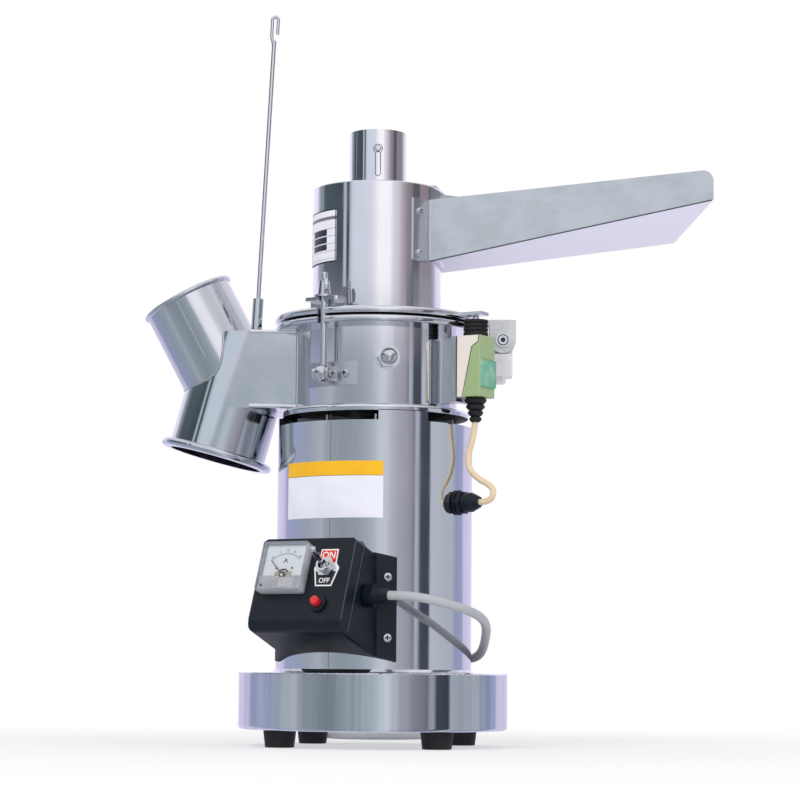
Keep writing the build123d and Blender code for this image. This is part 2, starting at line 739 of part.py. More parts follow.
def bag_rod():
    """A straight rod whose wire is folded back on itself at the top into a long eye."""
    tilt = math.radians(ROD_LEAN)
    foot = DUCT_TOP + 4.0
    length = (ROD_TOP - foot) / math.cos(tilt)
    wire_r = ROD_R * 0.8
    half = 2.6
    shaft = Pos(0, 0, (length - ROD_EYE) / 2) * Cylinder(ROD_R, length - ROD_EYE)
    low = length - ROD_EYE - 1
    high = length - half - wire_r
    path = FilletPolyline((-half * 0.2, 0, low - 3), (-half, 0, low + 5), (-half, 0, high - 1),
                          radius=6.0)
    bend = Edge.make_three_point_arc((-half, 0, high - 1), (0, 0, high + half - 1), (half, 0, high - 1))
    left = sweep(Plane(origin=path @ 0, z_dir=path % 0) * Circle(wire_r), path=path)
    top = sweep(Plane(origin=(-half, 0, high - 1), z_dir=(0, 0, 1)) * Circle(wire_r), path=bend)
    right = rod((half, 0, high - 1), (0, 0, -1), wire_r, ROD_EYE * 0.55)
    piece = shaft + left + top + right
    foot_x = SOCKET_X + math.tan(tilt) * (foot - DUCT_TOP + 1)
    return Pos(foot_x, SOCKET_Y, foot) * Rot(0, ROD_LEAN, 0) * piece


# --- lid clamps ---------------------------------------------------------------------------
def strap_screw_places():
    """The azimuth and height of each strap screw."""
    offset = math.degrees(STRAP_SCREW_ARC / CHAMBER_R)
    return [(place + side * offset, BOLT_PIVOT + 1) for place in CLAMP_AZIMUTHS for side in (-1, 1)]


def bolt_brackets():
    inner = CHAMBER_R + FIT
    outer = inner + STRAP_THICK
    low = BOLT_PIVOT + 1 - STRAP_HEIGHT / 2
    pieces = []
    for place in CLAMP_AZIMUTHS:
        strap = sector(inner, outer, low, low + STRAP_HEIGHT, -STRAP_ANGLE, STRAP_ANGLE)
        drill = Cylinder(STRAP_SCREW_R + FIT, 12)
        for side in (-1, 1):
            offset = side * math.degrees(STRAP_SCREW_ARC / CHAMBER_R)
            strap -= outward(offset, CHAMBER_R, BOLT_PIVOT + 1, drill)
        for side in (-1, 1):
            near = side * (EYE_WIDTH / 2 + FREE)
            far = side * (EYE_WIDTH / 2 + FREE + EAR_THICK)
            span = (min(near, far), max(near, far))
            ear = block(span, (-BOLT_CIRCLE_R, -inner - 1), (BOLT_PIVOT - EAR_R, BOLT_PIVOT + EAR_R))
            tip = Pos((near + far) / 2, -BOLT_CIRCLE_R, BOLT_PIVOT) * Rot(0, 90, 0)
            ear += tip * Cylinder(EAR_R, EAR_THICK)
            strap += ear
        strap -= column(CHAMBER_R + FIT, low - 9, low + STRAP_HEIGHT + 9)
        across = Pos(0, -BOLT_CIRCLE_R, BOLT_PIVOT) * Rot(0, 90, 0)
        strap -= across * Cylinder(PIVOT_R + FIT, 40)
        pieces.append(turned(place, strap))
    return joined(pieces)


def pivot_pins():
    """The two clamp pins and the hinge pin, each with a head at both ends."""
    out = EYE_WIDTH / 2 + FREE + EAR_THICK + FREE
    pin = Cylinder(PIVOT_R, 2 * out + 2)
    pin += Pos(0, 0, out + 1) * Cylinder(PIVOT_R + 1.6, 2)
    pin += Pos(0, 0, -out - 1) * Cylinder(PIVOT_R + 1.6, 2)
    across = Pos(0, -BOLT_CIRCLE_R, BOLT_PIVOT) * Rot(0, 90, 0)
    pieces = [turned(place, across * pin) for place in CLAMP_AZIMUTHS]
    out = CHEEK_OUT + FREE
    hinge = Cylinder(HINGE_PIN_R, 2 * out + 2)
    hinge += Pos(0, 0, out + 0.9) * Cylinder(HINGE_PIN_R + 3.6, 1.8)
    hinge += Pos(0, 0, out + 1.8) * Cylinder(HINGE_PIN_R + 1.4, 1.6)
    hinge += Pos(0, 0, -out - 2.6) * hexagon(10.0, 2.6)
    hinge -= Pos(0, 0, out + 3.4) * Box(8, 1, 2)
    pieces.append(Pos(HINGE_X, 0, HINGE_Z) * Rot(90, 0, 0) * hinge)
    return joined(pieces)


def swing_bolt(place):
    eye = Pos(0, -BOLT_CIRCLE_R, BOLT_PIVOT) * Sphere(EYE_R)
    half = EYE_WIDTH / 2
    eye &= block((-half, half), (-100, -60), (BOLT_PIVOT - 20, BOLT_PIVOT + 20))
    shank = Pos(0, -BOLT_CIRCLE_R, BOLT_PIVOT + BOLT_LENGTH / 2) * Cylinder(BOLT_R, BOLT_LENGTH)
    shank = chamfer(shank.edges().sort_by(Axis.Z)[-1], 0.8)
    piece = eye + shank
    piece -= Pos(0, -BOLT_CIRCLE_R, BOLT_PIVOT) * Rot(0, 90, 0) * Cylinder(PIVOT_R + FIT, 40)
    return turned(place, piece)


def washer(place):
    disc = ring(WASHER_R, BOLT_R + RUN, WASHER_LOW, NUT_LOW)
    return turned(place, Pos(0, -BOLT_CIRCLE_R, 0) * disc)


def wing_nut(place, turn):
    boss = Pos(0, 0, NUT_HEIGHT / 2) * Cone(NUT_BOSS_R + 0.6, NUT_BOSS_R - 0.8, NUT_HEIGHT)
    reach = WING_SPAN / 2 - WING_R
    for side in (-1, 1):
        lobe = Pos(side * reach, 0, NUT_HEIGHT * 0.62) * Rot(90, 0, 0) * Cylinder(WING_R, WING_THICK)
        root = block(sorted((0, side * reach)), (-WING_THICK / 2, WING_THICK / 2), (2.0, NUT_HEIGHT * 0.8))
        boss += lobe + root
    boss -= column(BOLT_R + RUN, -1, NUT_HEIGHT + 20)
    return turned(place, Pos(0, -BOLT_CIRCLE_R, NUT_LOW) * Rot(0, 0, turn) * boss)


# --- lid, hood and feed -------------------------------------------------------------------
def lug():
    """A slotted shelf on a low web, at the front."""
    half = LUG_WIDTH / 2
    shelf = block((-half, half), (-LUG_OUT_R, -LUG_IN_R), (LUG_LOW, LUG_LOW + LUG_THICK))
    corners = shelf.edges().filter_by(Axis.Z).group_by(Axis.Y)[0]
    shelf = fillet(corners, 4.0)
    web = block((-half, half), (-LUG_IN_R - 3, -LUG_IN_R), (LID_TOP - 1, LUG_LOW + 1))
    slot_half = LUG_SLOT / 2
    slot = block((-slot_half, slot_half), (-LUG_OUT_R - 5, -BOLT_CIRCLE_R), (LID_TOP, LUG_LOW + 9))
    slot += Pos(0, -BOLT_CIRCLE_R, LUG_LOW) * Cylinder(slot_half, 20)
    return shelf + web - slot


def lid_plate():
    plate = column(LID_R, LID_LOW, LID_TOP)
    plate = fillet(plate.edges(), 2.4)
    half = NOTCH_WIDTH / 2
    notch = block((-half, half), (-LID_R - 5, -NOTCH_IN_R), (LID_LOW - 5, LID_TOP + 2))
    for place in CLAMP_AZIMUTHS:
        plate -= turned(place, notch)
        plate += turned(place, lug())
    tab_low = LID_LOW + 2.6
    tab = block((-TAB_WIDTH / 2, TAB_WIDTH / 2), (-TAB_OUT, -LID_R + 4), (tab_low, tab_low + TAB_THICK))
    plate += turned(SWITCH_AZIMUTH, tab)
    return plate - column(LID_HOLE_R, LID_LOW - 1, LID_TOP + 1)


def hood():
    inner = HOOD_R - HOOD_WALL
    body = column(HOOD_R, LID_TOP, HOOD_TOP)
    body = fillet(body.edges().group_by(Axis.Z)[-1], 1.0)
    body += column(HOOD_FOOT_R, LID_TOP, LID_TOP + 1.6)
    body -= column(inner, LID_TOP - 1, HOOD_TOP - HOOD_WALL)
    body += column(NECK_R, HOOD_TOP - HOOD_WALL, HOOD_TOP + NECK_HEIGHT)
    body -= column(NECK_R - NECK_WALL, LID_TOP, HOOD_TOP + NECK_HEIGHT + 1)
    low = LID_TOP + CHUTE_NEAR_LIFT + CHUTE_SHEET
    half = CHUTE_NEAR_WIDTH / 2 - CHUTE_SHEET
    body -= block((20, HOOD_R + 5), (-half, half), (low + 1, HOOD_TOP - HOOD_WALL))
    for turn, z in flange_screw_places():
        body -= outward(turn, HOOD_R, z, Cylinder(FLANGE_SCREW_R + FIT, 12))
    return body - outward(0, NECK_R, KEYHOLE_Z, Cylinder(GUIDE_NECK_R + FIT, 12))


def tray(inset, rise=0.0):
    """The chute's flared form, moved inward by inset and up at its top by rise."""
    near_high = LID_TOP + CHUTE_NEAR_LIFT + CHUTE_NEAR_WALL
    far_high = LID_TOP + CHUTE_FAR_LIFT + CHUTE_FAR_WALL
    sections = []
    for x in (CHUTE_MOUTH_X - 16, CHUTE_REACH + 15):
        share = (x - CHUTE_MOUTH_X) / (CHUTE_REACH - CHUTE_MOUTH_X)
        width = CHUTE_NEAR_WIDTH + (CHUTE_FAR_WIDTH - CHUTE_NEAR_WIDTH) * share - 2 * inset
        low = LID_TOP + CHUTE_NEAR_LIFT + (CHUTE_FAR_LIFT - CHUTE_NEAR_LIFT) * share + inset
        high = near_high + (far_high - near_high) * share + 6 * inset + rise
        plane = Plane(origin=(x, 0, (low + high) / 2), x_dir=(0, 1, 0), z_dir=(1, 0, 0))
        sections.append(plane * Rectangle(width, high - low))
    return loft(sections, ruled=True)


def flange_screw_places():
    """The azimuth and height of each screw through the chute's two flange strips."""
    turns = (FLANGE_SCREW_ANGLE, 180 - FLANGE_SCREW_ANGLE)
    return [(turn, LID_TOP + lift) for turn in turns for lift in FLANGE_SCREW_LIFTS]


def chute():
    body = tray(0) - tray(CHUTE_SHEET)
    top = LID_TOP + CHUTE_FAR_LIFT + CHUTE_FAR_WALL
    corner_z = top - CHUTE_CORNER_R
    corner = block((-CHUTE_CORNER_R, 9), (-200, 200), (corner_z, top + 9))
    corner -= Pos(-CHUTE_CORNER_R, 0, corner_z) * Rot(90, 0, 0) * Cylinder(CHUTE_CORNER_R, 400)
    beyond = block((0, 60), (-200, 200), (HOUSING_TOP, top + 90))
    body -= Pos(CHUTE_REACH, 0, 0) * Rot(0, 0, CHUTE_SKEW) * (corner + beyond)
    inside_hood = column(HOOD_R + FIT, 0, HOOD_TOP + 50)
    body -= inside_hood
    body = body.solids().sort_by(SortBy.VOLUME)[-1]
    edge = math.degrees(math.acos(CHUTE_NEAR_WIDTH / 2 / HOOD_R))
    inner = HOOD_R + FIT
    low = LID_TOP + CHUTE_NEAR_LIFT
    high = low + CHUTE_NEAR_WALL
    for start in (edge - FLANGE_ANGLE, 180 - edge - 1.5):
        body += sector(inner, inner + CHUTE_SHEET, low, high, start, start + FLANGE_ANGLE + 1.5)
    start_x = HOOD_R * math.sin(math.radians(edge))
    outline = [(start_x, high - 3), (start_x, high + FIN_RISE), (start_x + 10, high + FIN_RISE),
               (start_x + FIN_RUN, high + FIN_RISE - 8), (start_x + FIN_RUN + 14, high + FIN_RISE - 9),
               (start_x + FIN_RUN + 26, high - 3)]
    fin = extrude(Plane.XZ * Polygon(*outline, align=None), amount=CHUTE_NEAR_WIDTH)
    fin &= tray(0, FIN_RISE) - tray(CHUTE_SHEET, FIN_RISE)
    fin -= inside_hood
    body += fin.solids().sort_by(SortBy.VOLUME)[-1]
    for turn, z in flange_screw_places():
        body -= outward(turn, HOOD_R, z, Cylinder(FLANGE_SCREW_R + FIT, 12))
    return body


def hood_screws():
    screw = pan_screw(3.7, 2.3, FLANGE_SCREW_R, 6.0)
    seat = HOOD_R + FIT + CHUTE_SHEET
    pieces = [outward(turn, seat, z, screw) for turn, z in flange_screw_places()]
    head_start = SLEEVE_R + FREE
    guide = Pos(0, 0, head_start + 0.9) * Cylinder(GUIDE_HEAD_R, 1.8)
    guide = fillet(guide.edges().sort_by(Axis.Z)[-1], 1.0)
    neck_start = NECK_R - NECK_WALL
    neck = head_start - neck_start
    guide += Pos(0, 0, neck_start + neck / 2) * Cylinder(GUIDE_NECK_R, neck)
    pieces.append(outward(0, 0, KEYHOLE_Z, guide))
    return joined(pieces)


def feed_sleeve():
    high = SLEEVE_LOW + SLEEVE_HEIGHT
    body = ring(SLEEVE_R, SLEEVE_IN_R, SLEEVE_LOW, high)
    slot_r = GUIDE_NECK_R + FREE
    foot = KEYHOLE_Z - SLEEVE_TRAVEL - 2 * FREE
    cut = outward(0, SLEEVE_R, KEYHOLE_Z, Cylinder(KEYHOLE_R, 12))
    cut += outward(0, SLEEVE_R, foot, Cylinder(slot_r, 12))
    cut += block((-slot_r, slot_r), (-SLEEVE_R - 6, -SLEEVE_R + 6), (foot, KEYHOLE_Z))
    return body - cut


# --- hinge --------------------------------------------------------------------------------
def hinge_block():
    half = BLOCK_WIDTH / 2
    low = HINGE_Z - BLOCK_DROP
    high = HINGE_Z - EAR_ROUND_R - 2 * FREE
    body = block((HINGE_X - half, HINGE_X + half), (-CHEEK_OUT, CHEEK_OUT), (low, high))
    body = fillet(body.edges().filter_by(Axis.Z), 1.5)
    tongue = block((HINGE_X - half, HINGE_X + half), (-TONGUE_OUT, TONGUE_OUT), (high - 1, HINGE_Z))
    tongue += Pos(HINGE_X, 0, HINGE_Z) * Rot(90, 0, 0) * Cylinder(TONGUE_R, 2 * TONGUE_OUT)
    arm = block((CHAMBER_R - 9, HINGE_X - half + 1), (-8, 8), (low + 2, high - 3))
    body += arm - column(CHAMBER_R + FIT, 0, RIM_TOP)
    body += tongue
    body -= Pos(HINGE_X, 0, HINGE_Z) * Rot(90, 0, 0) * Cylinder(HINGE_PIN_R + FIT, 60)
    head = Pos(HINGE_X - 2.4, 0, low - 6) * hexagon(10.0, 6.0)
    return joined([body, head])


def hinge_ear():
    left = HINGE_X - EAR_ROUND_R
    right = HINGE_X + EAR_ROUND_R
    top = HINGE_Z + EAR_TOP
    ear = block((left, right), (-CHEEK_OUT, CHEEK_OUT), (HINGE_Z, top))
    ear = fillet(ear.edges().filter_by(Axis.Y), 1.0)
    ear += Pos(HINGE_X, 0, HINGE_Z) * Rot(90, 0, 0) * Cylinder(EAR_ROUND_R, 2 * CHEEK_OUT)
    gap = TONGUE_OUT + FREE
    ear -= block((left - 5, right + 5), (-gap, gap), (HINGE_Z - 30, HINGE_Z + TONGUE_R + 3))
    arm = block((LID_R - 9, left + 4), (-CHEEK_OUT + 2, CHEEK_OUT - 2), (LID_LOW + 0.6, top))
    ear += arm - column(LID_R + FIT, LID_LOW - 5, LID_TOP + 5)
    return ear - Pos(HINGE_X, 0, HINGE_Z) * Rot(90, 0, 0) * Cylinder(HINGE_PIN_R + RUN, 60)


# --- safety switch ------------------------------------------------------------------------
def switch_split():
    """A solid on the outer side of the slanted seam, at the front."""
    head = -SWITCH_IN - SEAM_HEAD
    step = SWITCH_HIGH - SEAM_DROP
    out = -SWITCH_OUT - 5
    corners = [(head, SWITCH_HIGH + 5), (head, step + 4.5), (-SWITCH_IN - SEAM_TOP, step),
               (-SWITCH_IN - SEAM_FOOT, SWITCH_LOW - 5), (out, SWITCH_LOW - 5), (out, SWITCH_HIGH + 5)]
    return extrude(Plane.YZ * Polygon(*corners, align=None), amount=SWITCH_WIDTH, both=True)


def switch_case():
    half = SWITCH_WIDTH / 2
    case = block((-half, half), (-SWITCH_OUT, -SWITCH_IN), (SWITCH_LOW, SWITCH_HIGH))
    return fillet(case.edges().filter_by(Axis.Z), 1.6)


def switch_body():
    return turned(SWITCH_AZIMUTH, switch_case() - switch_split())


def switch_cover():
    cover = switch_case() & switch_split()
    return turned(SWITCH_AZIMUTH, cover)


def switch_bracket():
    """A plate behind the switch on a web from the chamber wall."""
    low = SWITCH_LOW - 4
    plate = block((-14, 14), (-SWITCH_IN, -SWITCH_IN + BRACKET_PLATE), (low, SWITCH_HIGH))
    half = BRACKET_WEB / 2
    web = block((-half, half), (-SWITCH_IN + 1, -CHAMBER_R + 6), (low, SWITCH_HIGH))
    return turned(SWITCH_AZIMUTH, plate + web - column(CHAMBER_R + FIT, 0, LID_LOW))


def switch_boots():
    """The ribbed head over the switch and the bellows where the cable leaves below."""
    head = column(HEAD_R, 0, HEAD_HEIGHT)
    for n in range(3):
        low = 4.0 + n * 3.6
        head -= ring(HEAD_R + 2, HEAD_R - 1.2, low, low + 1.5)
    head -= column(PLUNGER_R + RUN, -1, HEAD_HEIGHT + 1)
    head = Pos(0, -HEAD_RHO, SWITCH_HIGH) * head
    pitch = BELLOWS_LENGTH / BELLOWS_FOLDS
    outline = [(CABLE_R + FIT, 0.0)]
    for n in range(BELLOWS_FOLDS):
        radius = BELLOWS_R + (BELLOWS_TIP_R - BELLOWS_R) * n / (BELLOWS_FOLDS - 1)
        outline += [(radius - 1.6, -n * pitch), (radius, -(n + 0.35) * pitch),
                    (radius, -(n + 0.6) * pitch), (radius - 1.6, -(n + 0.95) * pitch)]
    outline.append((CABLE_R + FIT, -BELLOWS_LENGTH))
    boot = Pos(0, -BELLOWS_RHO, SWITCH_LOW) * spun(outline)
    return joined([turned(SWITCH_AZIMUTH, head), turned(SWITCH_AZIMUTH, boot)])


def switch_plunger():
    top = LID_LOW + 2.6 - FREE
    body = column(PLUNGER_R, SWITCH_HIGH + 1.5, top)
    body = fillet(body.edges().sort_by(Axis.Z)[-1], 1.2)
    return turned(SWITCH_AZIMUTH, Pos(0, -HEAD_RHO, 0) * body)


def interlock_gland():
    start = HOUSING_R + FREE
    flange = Pos(0, 0, start + 1) * Cylinder(CABLE_GLAND_R, 2)
    nut = Pos(0, 0, start + 2) * hexagon(19.0, 5)
    sleeve = Pos(0, 0, start + 7 + 4) * Cylinder(8.6, 8)
    dome_length = CABLE_GLAND_OUT - start - 15
    dome = Pos(0, 0, start + 15 + dome_length / 2) * Cone(8.6, CABLE_R + 2.2, dome_length)
    thread = Pos(0, 0, start - 4) * Cylinder(GLAND_THREAD_R, 8)
    gland = flange + nut + sleeve + dome + thread
    gland -= Pos(0, 0, start + 20) * Cylinder(CABLE_R + FIT, 60)
    return outward(CABLE_GLAND_AZIMUTH, 0, CABLE_GLAND_Z, gland)


def around(rho, azimuth, z):
    turn = math.radians(azimuth)
    return (rho * math.sin(turn), -rho * math.cos(turn), z)


def hose(points, radius):
    """A round tube along straight runs with the largest arcs that the runs allow."""
    spots = [Vector(*point) for point in points]
    radii = []
    for before, here, after in zip(spots, spots[1:], spots[2:]):
        into = here - before
        out = after - here
        half_turn = math.radians(into.get_angle(out)) / 2
        radii.append(0.45 * min(into.length, out.length) / math.tan(half_turn))
    path = FilletPolyline(*spots, radius=radii) if radii else Line(*spots)
    tube = sweep(Plane(origin=path @ 0, z_dir=path % 0) * Circle(radius), path=path)
    print("arc radii", [round(value, 1) for value in radii], "length", round(path.length, 1),
          "volume share", round(tube.volume / (math.pi * radius**2 * path.length), 4))
    return tube


def interlock_cable():
    start = around(BELLOWS_RHO, SWITCH_AZIMUTH, SWITCH_LOW - BELLOWS_LENGTH + 2)
    end = around(CABLE_GLAND_OUT - 2, CABLE_GLAND_AZIMUTH, CABLE_GLAND_Z)
    points = [around(HOUSING_R + out, turn, CABLE_GLAND_Z + lift) for out, turn, lift in CABLE_ROUTE]
    points = [start] + points + [end]
    return hose(points, CABLE_R)


# --- control box --------------------------------------------------------------------------
def wing_screw_places():
    """The azimuth and height of each screw through the box's wings."""
    turns = (BOX_AZIMUTH - WING_SCREW_ANGLE, BOX_AZIMUTH + WING_SCREW_ANGLE)
    return [(turn, z) for turn in turns for z in WING_SCREW_ZS]


def box_form(inset, front, back):
    """The tilted box between two depths behind the panel, moved inward by inset."""
    sections = []
    slant = (BOX_BACK_HALF_WIDTH - BOX_HALF_WIDTH) / BOX_TAPER_DEPTH
    height = BOX_UP + BOX_DOWN - 2 * inset
    middle = (BOX_UP - BOX_DOWN) / 2
    for depth in (front, back):
        half = BOX_HALF_WIDTH + slant * depth - inset
        sections.append(Pos(0, middle, -depth) * Rectangle(2 * half, height))
    form = loft(sections, ruled=True)
    for group in (-1, 0):
        corners = form.edges().filter_by(lambda edge: abs((edge % 0.5).Z) > 0.9).group_by(Axis.Y)
        form = fillet(corners[group], 4.0 - inset)
    return form


def box_shell():
    shell = PANEL.location * box_form(0, COVER_DEPTH, BOX_DEPTH)
    shell -= column(HOUSING_R + FREE, 0, HOUSING_TOP)
    reach = HOUSING_R + FREE + WING_PLATE
    wings = sector(HOUSING_R + FREE, reach, 0, HOUSING_TOP, -WING_ANGLE, WING_ANGLE)
    slab = Box(3.5 * HOUSING_R, BOX_UP + BOX_DOWN, 2.5 * BOX_DEPTH)
    slab = Pos(0, (BOX_UP - BOX_DOWN) / 2, -BOX_DEPTH / 2) * slab
    wings &= PANEL.location * slab
    hollow = PANEL.location * box_form(BOX_WALL, COVER_DEPTH - 2, BOX_DEPTH) - column(reach, 0, HOUSING_TOP)
    shell = shell + wings - hollow
    shell = shell.solids().sort_by(SortBy.VOLUME)[-1]
    drill = Cylinder(WING_SCREW_R + FIT, 12)
    for side in (-1, 1):
        for z in WING_SCREW_ZS:
            shell -= outward(side * WING_SCREW_ANGLE, HOUSING_R, z, drill)
    side_hole = Pos(BOX_BACK_HALF_WIDTH, -GLAND_RHO, GLAND_Z) * Rot(0, 90, 0)
    shell -= side_hole * Cylinder(GLAND_THREAD_R + FIT, 24)
    return turned(BOX_AZIMUTH, shell)


def box_cover():
    cover = box_form(0, 0, COVER_DEPTH)
    half = 2 * BOX_HALF_WIDTH
    middle = BOX_CHIN_R - BOX_DOWN
    chin = block((-half, half), (-BOX_DOWN - 1, middle), (-BOX_CHIN_R, 1))
    chin -= Pos(0, middle, -BOX_CHIN_R) * Rot(0, 90, 0) * Cylinder(BOX_CHIN_R, 3 * half)
    cover -= chin
    cover -= box_form(BOX_WALL, BOX_WALL, COVER_DEPTH + 5)
    cover -= Pos(METER_U, METER_V, 0) * Cylinder(DRUM_R + FREE, 20)
    cover -= Pos(TOGGLE_U, TOGGLE_V, 0) * Cylinder(BUSHING_R + FIT, 20)
    cover -= Pos(RESET_U, RESET_V, 0) * Cylinder(COLLAR_R - 2 + FIT, 20)
    return panel_piece(cover)


def meter_movement():
    """The meter's drum behind the panel, with its dial in front and the needle's pin."""
    inside = METER_SIDE - 2 * METER_WALL - 2 * FIT
    dial = Pos(0, 0, DIAL_W / 2) * Box(inside, inside, DIAL_W)
    drum = Pos(0, 0, -DRUM_DEPTH / 2) * Cylinder(DRUM_R, DRUM_DEPTH)
    pin = Pos(0, -NEEDLE_DROP, DIAL_W + 1.3) * Cylinder(METER_PIN_R, 2.6)
    return panel_piece(Pos(METER_U, METER_V, 0) * (dial + drum + pin))


def meter_lens():
    case = Pos(0, 0, METER_DEPTH / 2) * Box(METER_SIDE, METER_SIDE, METER_DEPTH)
    case = fillet(case.edges().filter_by(Axis.Z), 2.0)
    case = fillet(case.edges().group_by(Axis.Z)[-1], 1.0)
    inside = METER_SIDE - 2 * METER_WALL
    case -= Pos(0, 0, METER_DEPTH / 2 - METER_WALL) * Box(inside, inside, METER_DEPTH)
    return panel_piece(Pos(METER_U, METER_V, 0) * case)


def meter_needle():
    """The pointer at rest on the dial's zero."""
    hub = Cylinder(3.0, 1.2) - Cylinder(METER_PIN_R + RUN, 9)
    pointer = Pos(0, 2.5 + (NEEDLE_LENGTH - 2.5) / 2, 0) * Box(0.7, NEEDLE_LENGTH - 2.5, 0.6)
    place = Pos(METER_U, METER_V - NEEDLE_DROP, DIAL_W + 1.2)
    return panel_piece(place * Rot(0, 0, NEEDLE_REST) * (hub + pointer))


def toggle_bushing():
    bush = Cylinder(BUSHING_R, BUSHING_OUT + BOX_WALL + 3)
    bush = Pos(0, 0, (BUSHING_OUT - BOX_WALL - 3) / 2) * bush
    nut = Pos(0, 0, 1.1) * hexagon(16.0, 2.4)
    body = Pos(0, 0, -BOX_WALL - 9) * Box(12, 22, 16)
    piece = bush + nut + body
    return panel_piece(Pos(TOGGLE_U, TOGGLE_V, 0) * (piece - column(TOGGLE_BALL_R + FREE, -2, 30)))


def toggle_lever():
    ball = Sphere(TOGGLE_BALL_R)
    neck = Pos(0, 0, TOGGLE_LENGTH / 2) * Cone(1.5, 3.0, TOGGLE_LENGTH)
    tip = Pos(0, 0, TOGGLE_LENGTH) * Sphere(3.0)
    lever = Pos(TOGGLE_U, TOGGLE_V, TOGGLE_PIVOT) * Rot(-TOGGLE_REST, 0, 0) * (ball + neck + tip)
    return panel_piece(lever)


def reset_collar():
    collar = Pos(0, 0, 1.6) * Cylinder(COLLAR_R, 3.2)
    collar = fillet(collar.edges().sort_by(Axis.Z)[-1], 1.2)
    collar += Pos(0, 0, -BOX_WALL) * Cylinder(COLLAR_R - 2, 2 * BOX_WALL)
    return panel_piece(Pos(RESET_U, RESET_V, 0) * (collar - Cylinder(RESET_R + RUN, 60)))


def reset_button():
    button = Pos(0, 0, (RESET_OUT - BOX_WALL) / 2) * Cylinder(RESET_R, RESET_OUT + BOX_WALL)
    button = fillet(button.edges().sort_by(Axis.Z)[-1], 1.4)
    return panel_piece(Pos(RESET_U, RESET_V, 0) * button)


def mains_gland():
    """The cord's gland on the box's right side, ending in a tapered relief."""
    start = BOX_BACK_HALF_WIDTH + FREE
    thread = Pos(0, 0, start - 4) * Cylinder(GLAND_THREAD_R, 8)
    flange = Pos(0, 0, start + 1.5) * Cylinder(GLAND_R, 3)
    nut = Pos(0, 0, start + 3) * hexagon(GLAND_R * 1.75, 4)
    length = GLAND_LENGTH - 7
    relief = Pos(0, 0, start + 7 + length / 2) * Cone(GLAND_R * 0.8, CORD_R + 1.2, length)
    gland = thread + flange + nut + relief
    gland -= Pos(0, 0, start + GLAND_LENGTH / 2 - 6) * Cylinder(CORD_R + FIT, 60)
    return turned(BOX_AZIMUTH, Pos(0, -GLAND_RHO, GLAND_Z) * Rot(0, 90, 0) * gland)


# --- cord ---------------------------------------------------------------------------------
def mains_cord():
    turn = math.radians(BOX_AZIMUTH)
    out = BOX_BACK_HALF_WIDTH + FREE + GLAND_LENGTH - 2
    start = (
        out * math.cos(turn) + GLAND_RHO * math.sin(turn),
        out * math.sin(turn) - GLAND_RHO * math.cos(turn),
        GLAND_Z,
    )
    lead = hose([start] + CORD_ROUTE, CORD_R)
    far_y = COIL_Y + COIL_MEAN_R
    high = COIL_HEIGHT - CORD_R
    tail = hose([(COIL_X + 8, far_y, high), (plug_start() + 1, far_y, PLUG_HEIGHT / 2)], CORD_R)
    return joined([lead, tail])


def mains_coil():
    half = COIL_WIDTH / 2
    coil = ring(COIL_MEAN_R + half, COIL_MEAN_R - half, 0, COIL_HEIGHT)
    coil = fillet(coil.edges(), 5.0)
    return Pos(COIL_X, COIL_Y, 0) * coil


def plug_start():
    return COIL_X + COIL_MEAN_R + 4


def mains_plug():
    """A plain two-pin plug with a tapered relief, lying beside the coil."""
    far_y = COIL_Y + COIL_MEAN_R
    relief = 14.0
    body = Pos(relief + (PLUG_LENGTH - relief) / 2, 0, 0) * Box(PLUG_LENGTH - relief, 30, PLUG_HEIGHT)
    body = fillet(body.edges().filter_by(Axis.X), 5.0)
    body += Pos(relief / 2, 0, 0) * Rot(0, 90, 0) * Cone(CORD_R + 1.5, 9.0, relief)
    for side in (-1, 1):
        body += Pos(PLUG_LENGTH + 8, side * 9.5, 0) * Rot(0, 90, 0) * Cylinder(2.4, 19)
    body -= Rot(0, 90, 0) * Cylinder(CORD_R + FIT, 2 * relief - 4)
    return Pos(plug_start(), far_y, PLUG_HEIGHT / 2) * body


# --- rotor --------------------------------------------------------------------------------
def pin_spot(n):
    turn = math.radians(n * 360 / HAMMERS)
    return Pos(PIN_CIRCLE_R * math.sin(turn), -PIN_CIRCLE_R * math.cos(turn), 0)


def hammer_disc():
    """Two discs on one hub, with holes for the hammers' pins, and the nut that holds them."""
    body = column(HUB_R, DISC_LOW, DISC_TOP)
    body += column(DISC_R, DISC_LOW, DISC_LOW + DISC_THICK)
    body += column(DISC_R, UPPER_DISC, DISC_TOP)
    body -= column(JOURNAL_R + FIT, 0, DISC_TOP + 50)
    for n in range(HAMMERS):
        body -= pin_spot(n) * column(HAMMER_PIN_R + FIT, 0, DISC_TOP + 50)
    nut = Pos(0, 0, DISC_TOP) * hexagon(30.0, 8.0) - column(JOURNAL_R + FIT, 0, DISC_TOP + 50)
    return joined([body, nut])


def hammer_pins():
    pin = column(HAMMER_PIN_R, DISC_LOW, DISC_TOP) + column(HAMMER_PIN_R + 1.8, DISC_TOP, DISC_TOP + 2)
    return joined([pin_spot(n) * pin for n in range(HAMMERS)])


def hammer(n):
    """A free-swinging hammer, pointing outwards, with a stepped striking end."""
    half = HAMMER_WIDTH / 2
    outer = -PIN_CIRCLE_R - HAMMER_REACH
    high = HAMMER_LOW + HAMMER_HEIGHT
    body = block((-half, half), (outer, -PIN_CIRCLE_R), (HAMMER_LOW, high))
    body += Pos(0, -PIN_CIRCLE_R, 0) * column(half, HAMMER_LOW, high)
    for side in (-1, 1):
        step = block(sorted((side * half, side * (half - 3))), (outer, outer + 6),
                     (HAMMER_LOW - 1, high + 1))
        body -= step
    body -= Pos(0, -PIN_CIRCLE_R, 0) * column(HAMMER_PIN_R + RUN, HAMMER_LOW - 1, high + 1)
    return turned(n * 360 / HAMMERS, body)


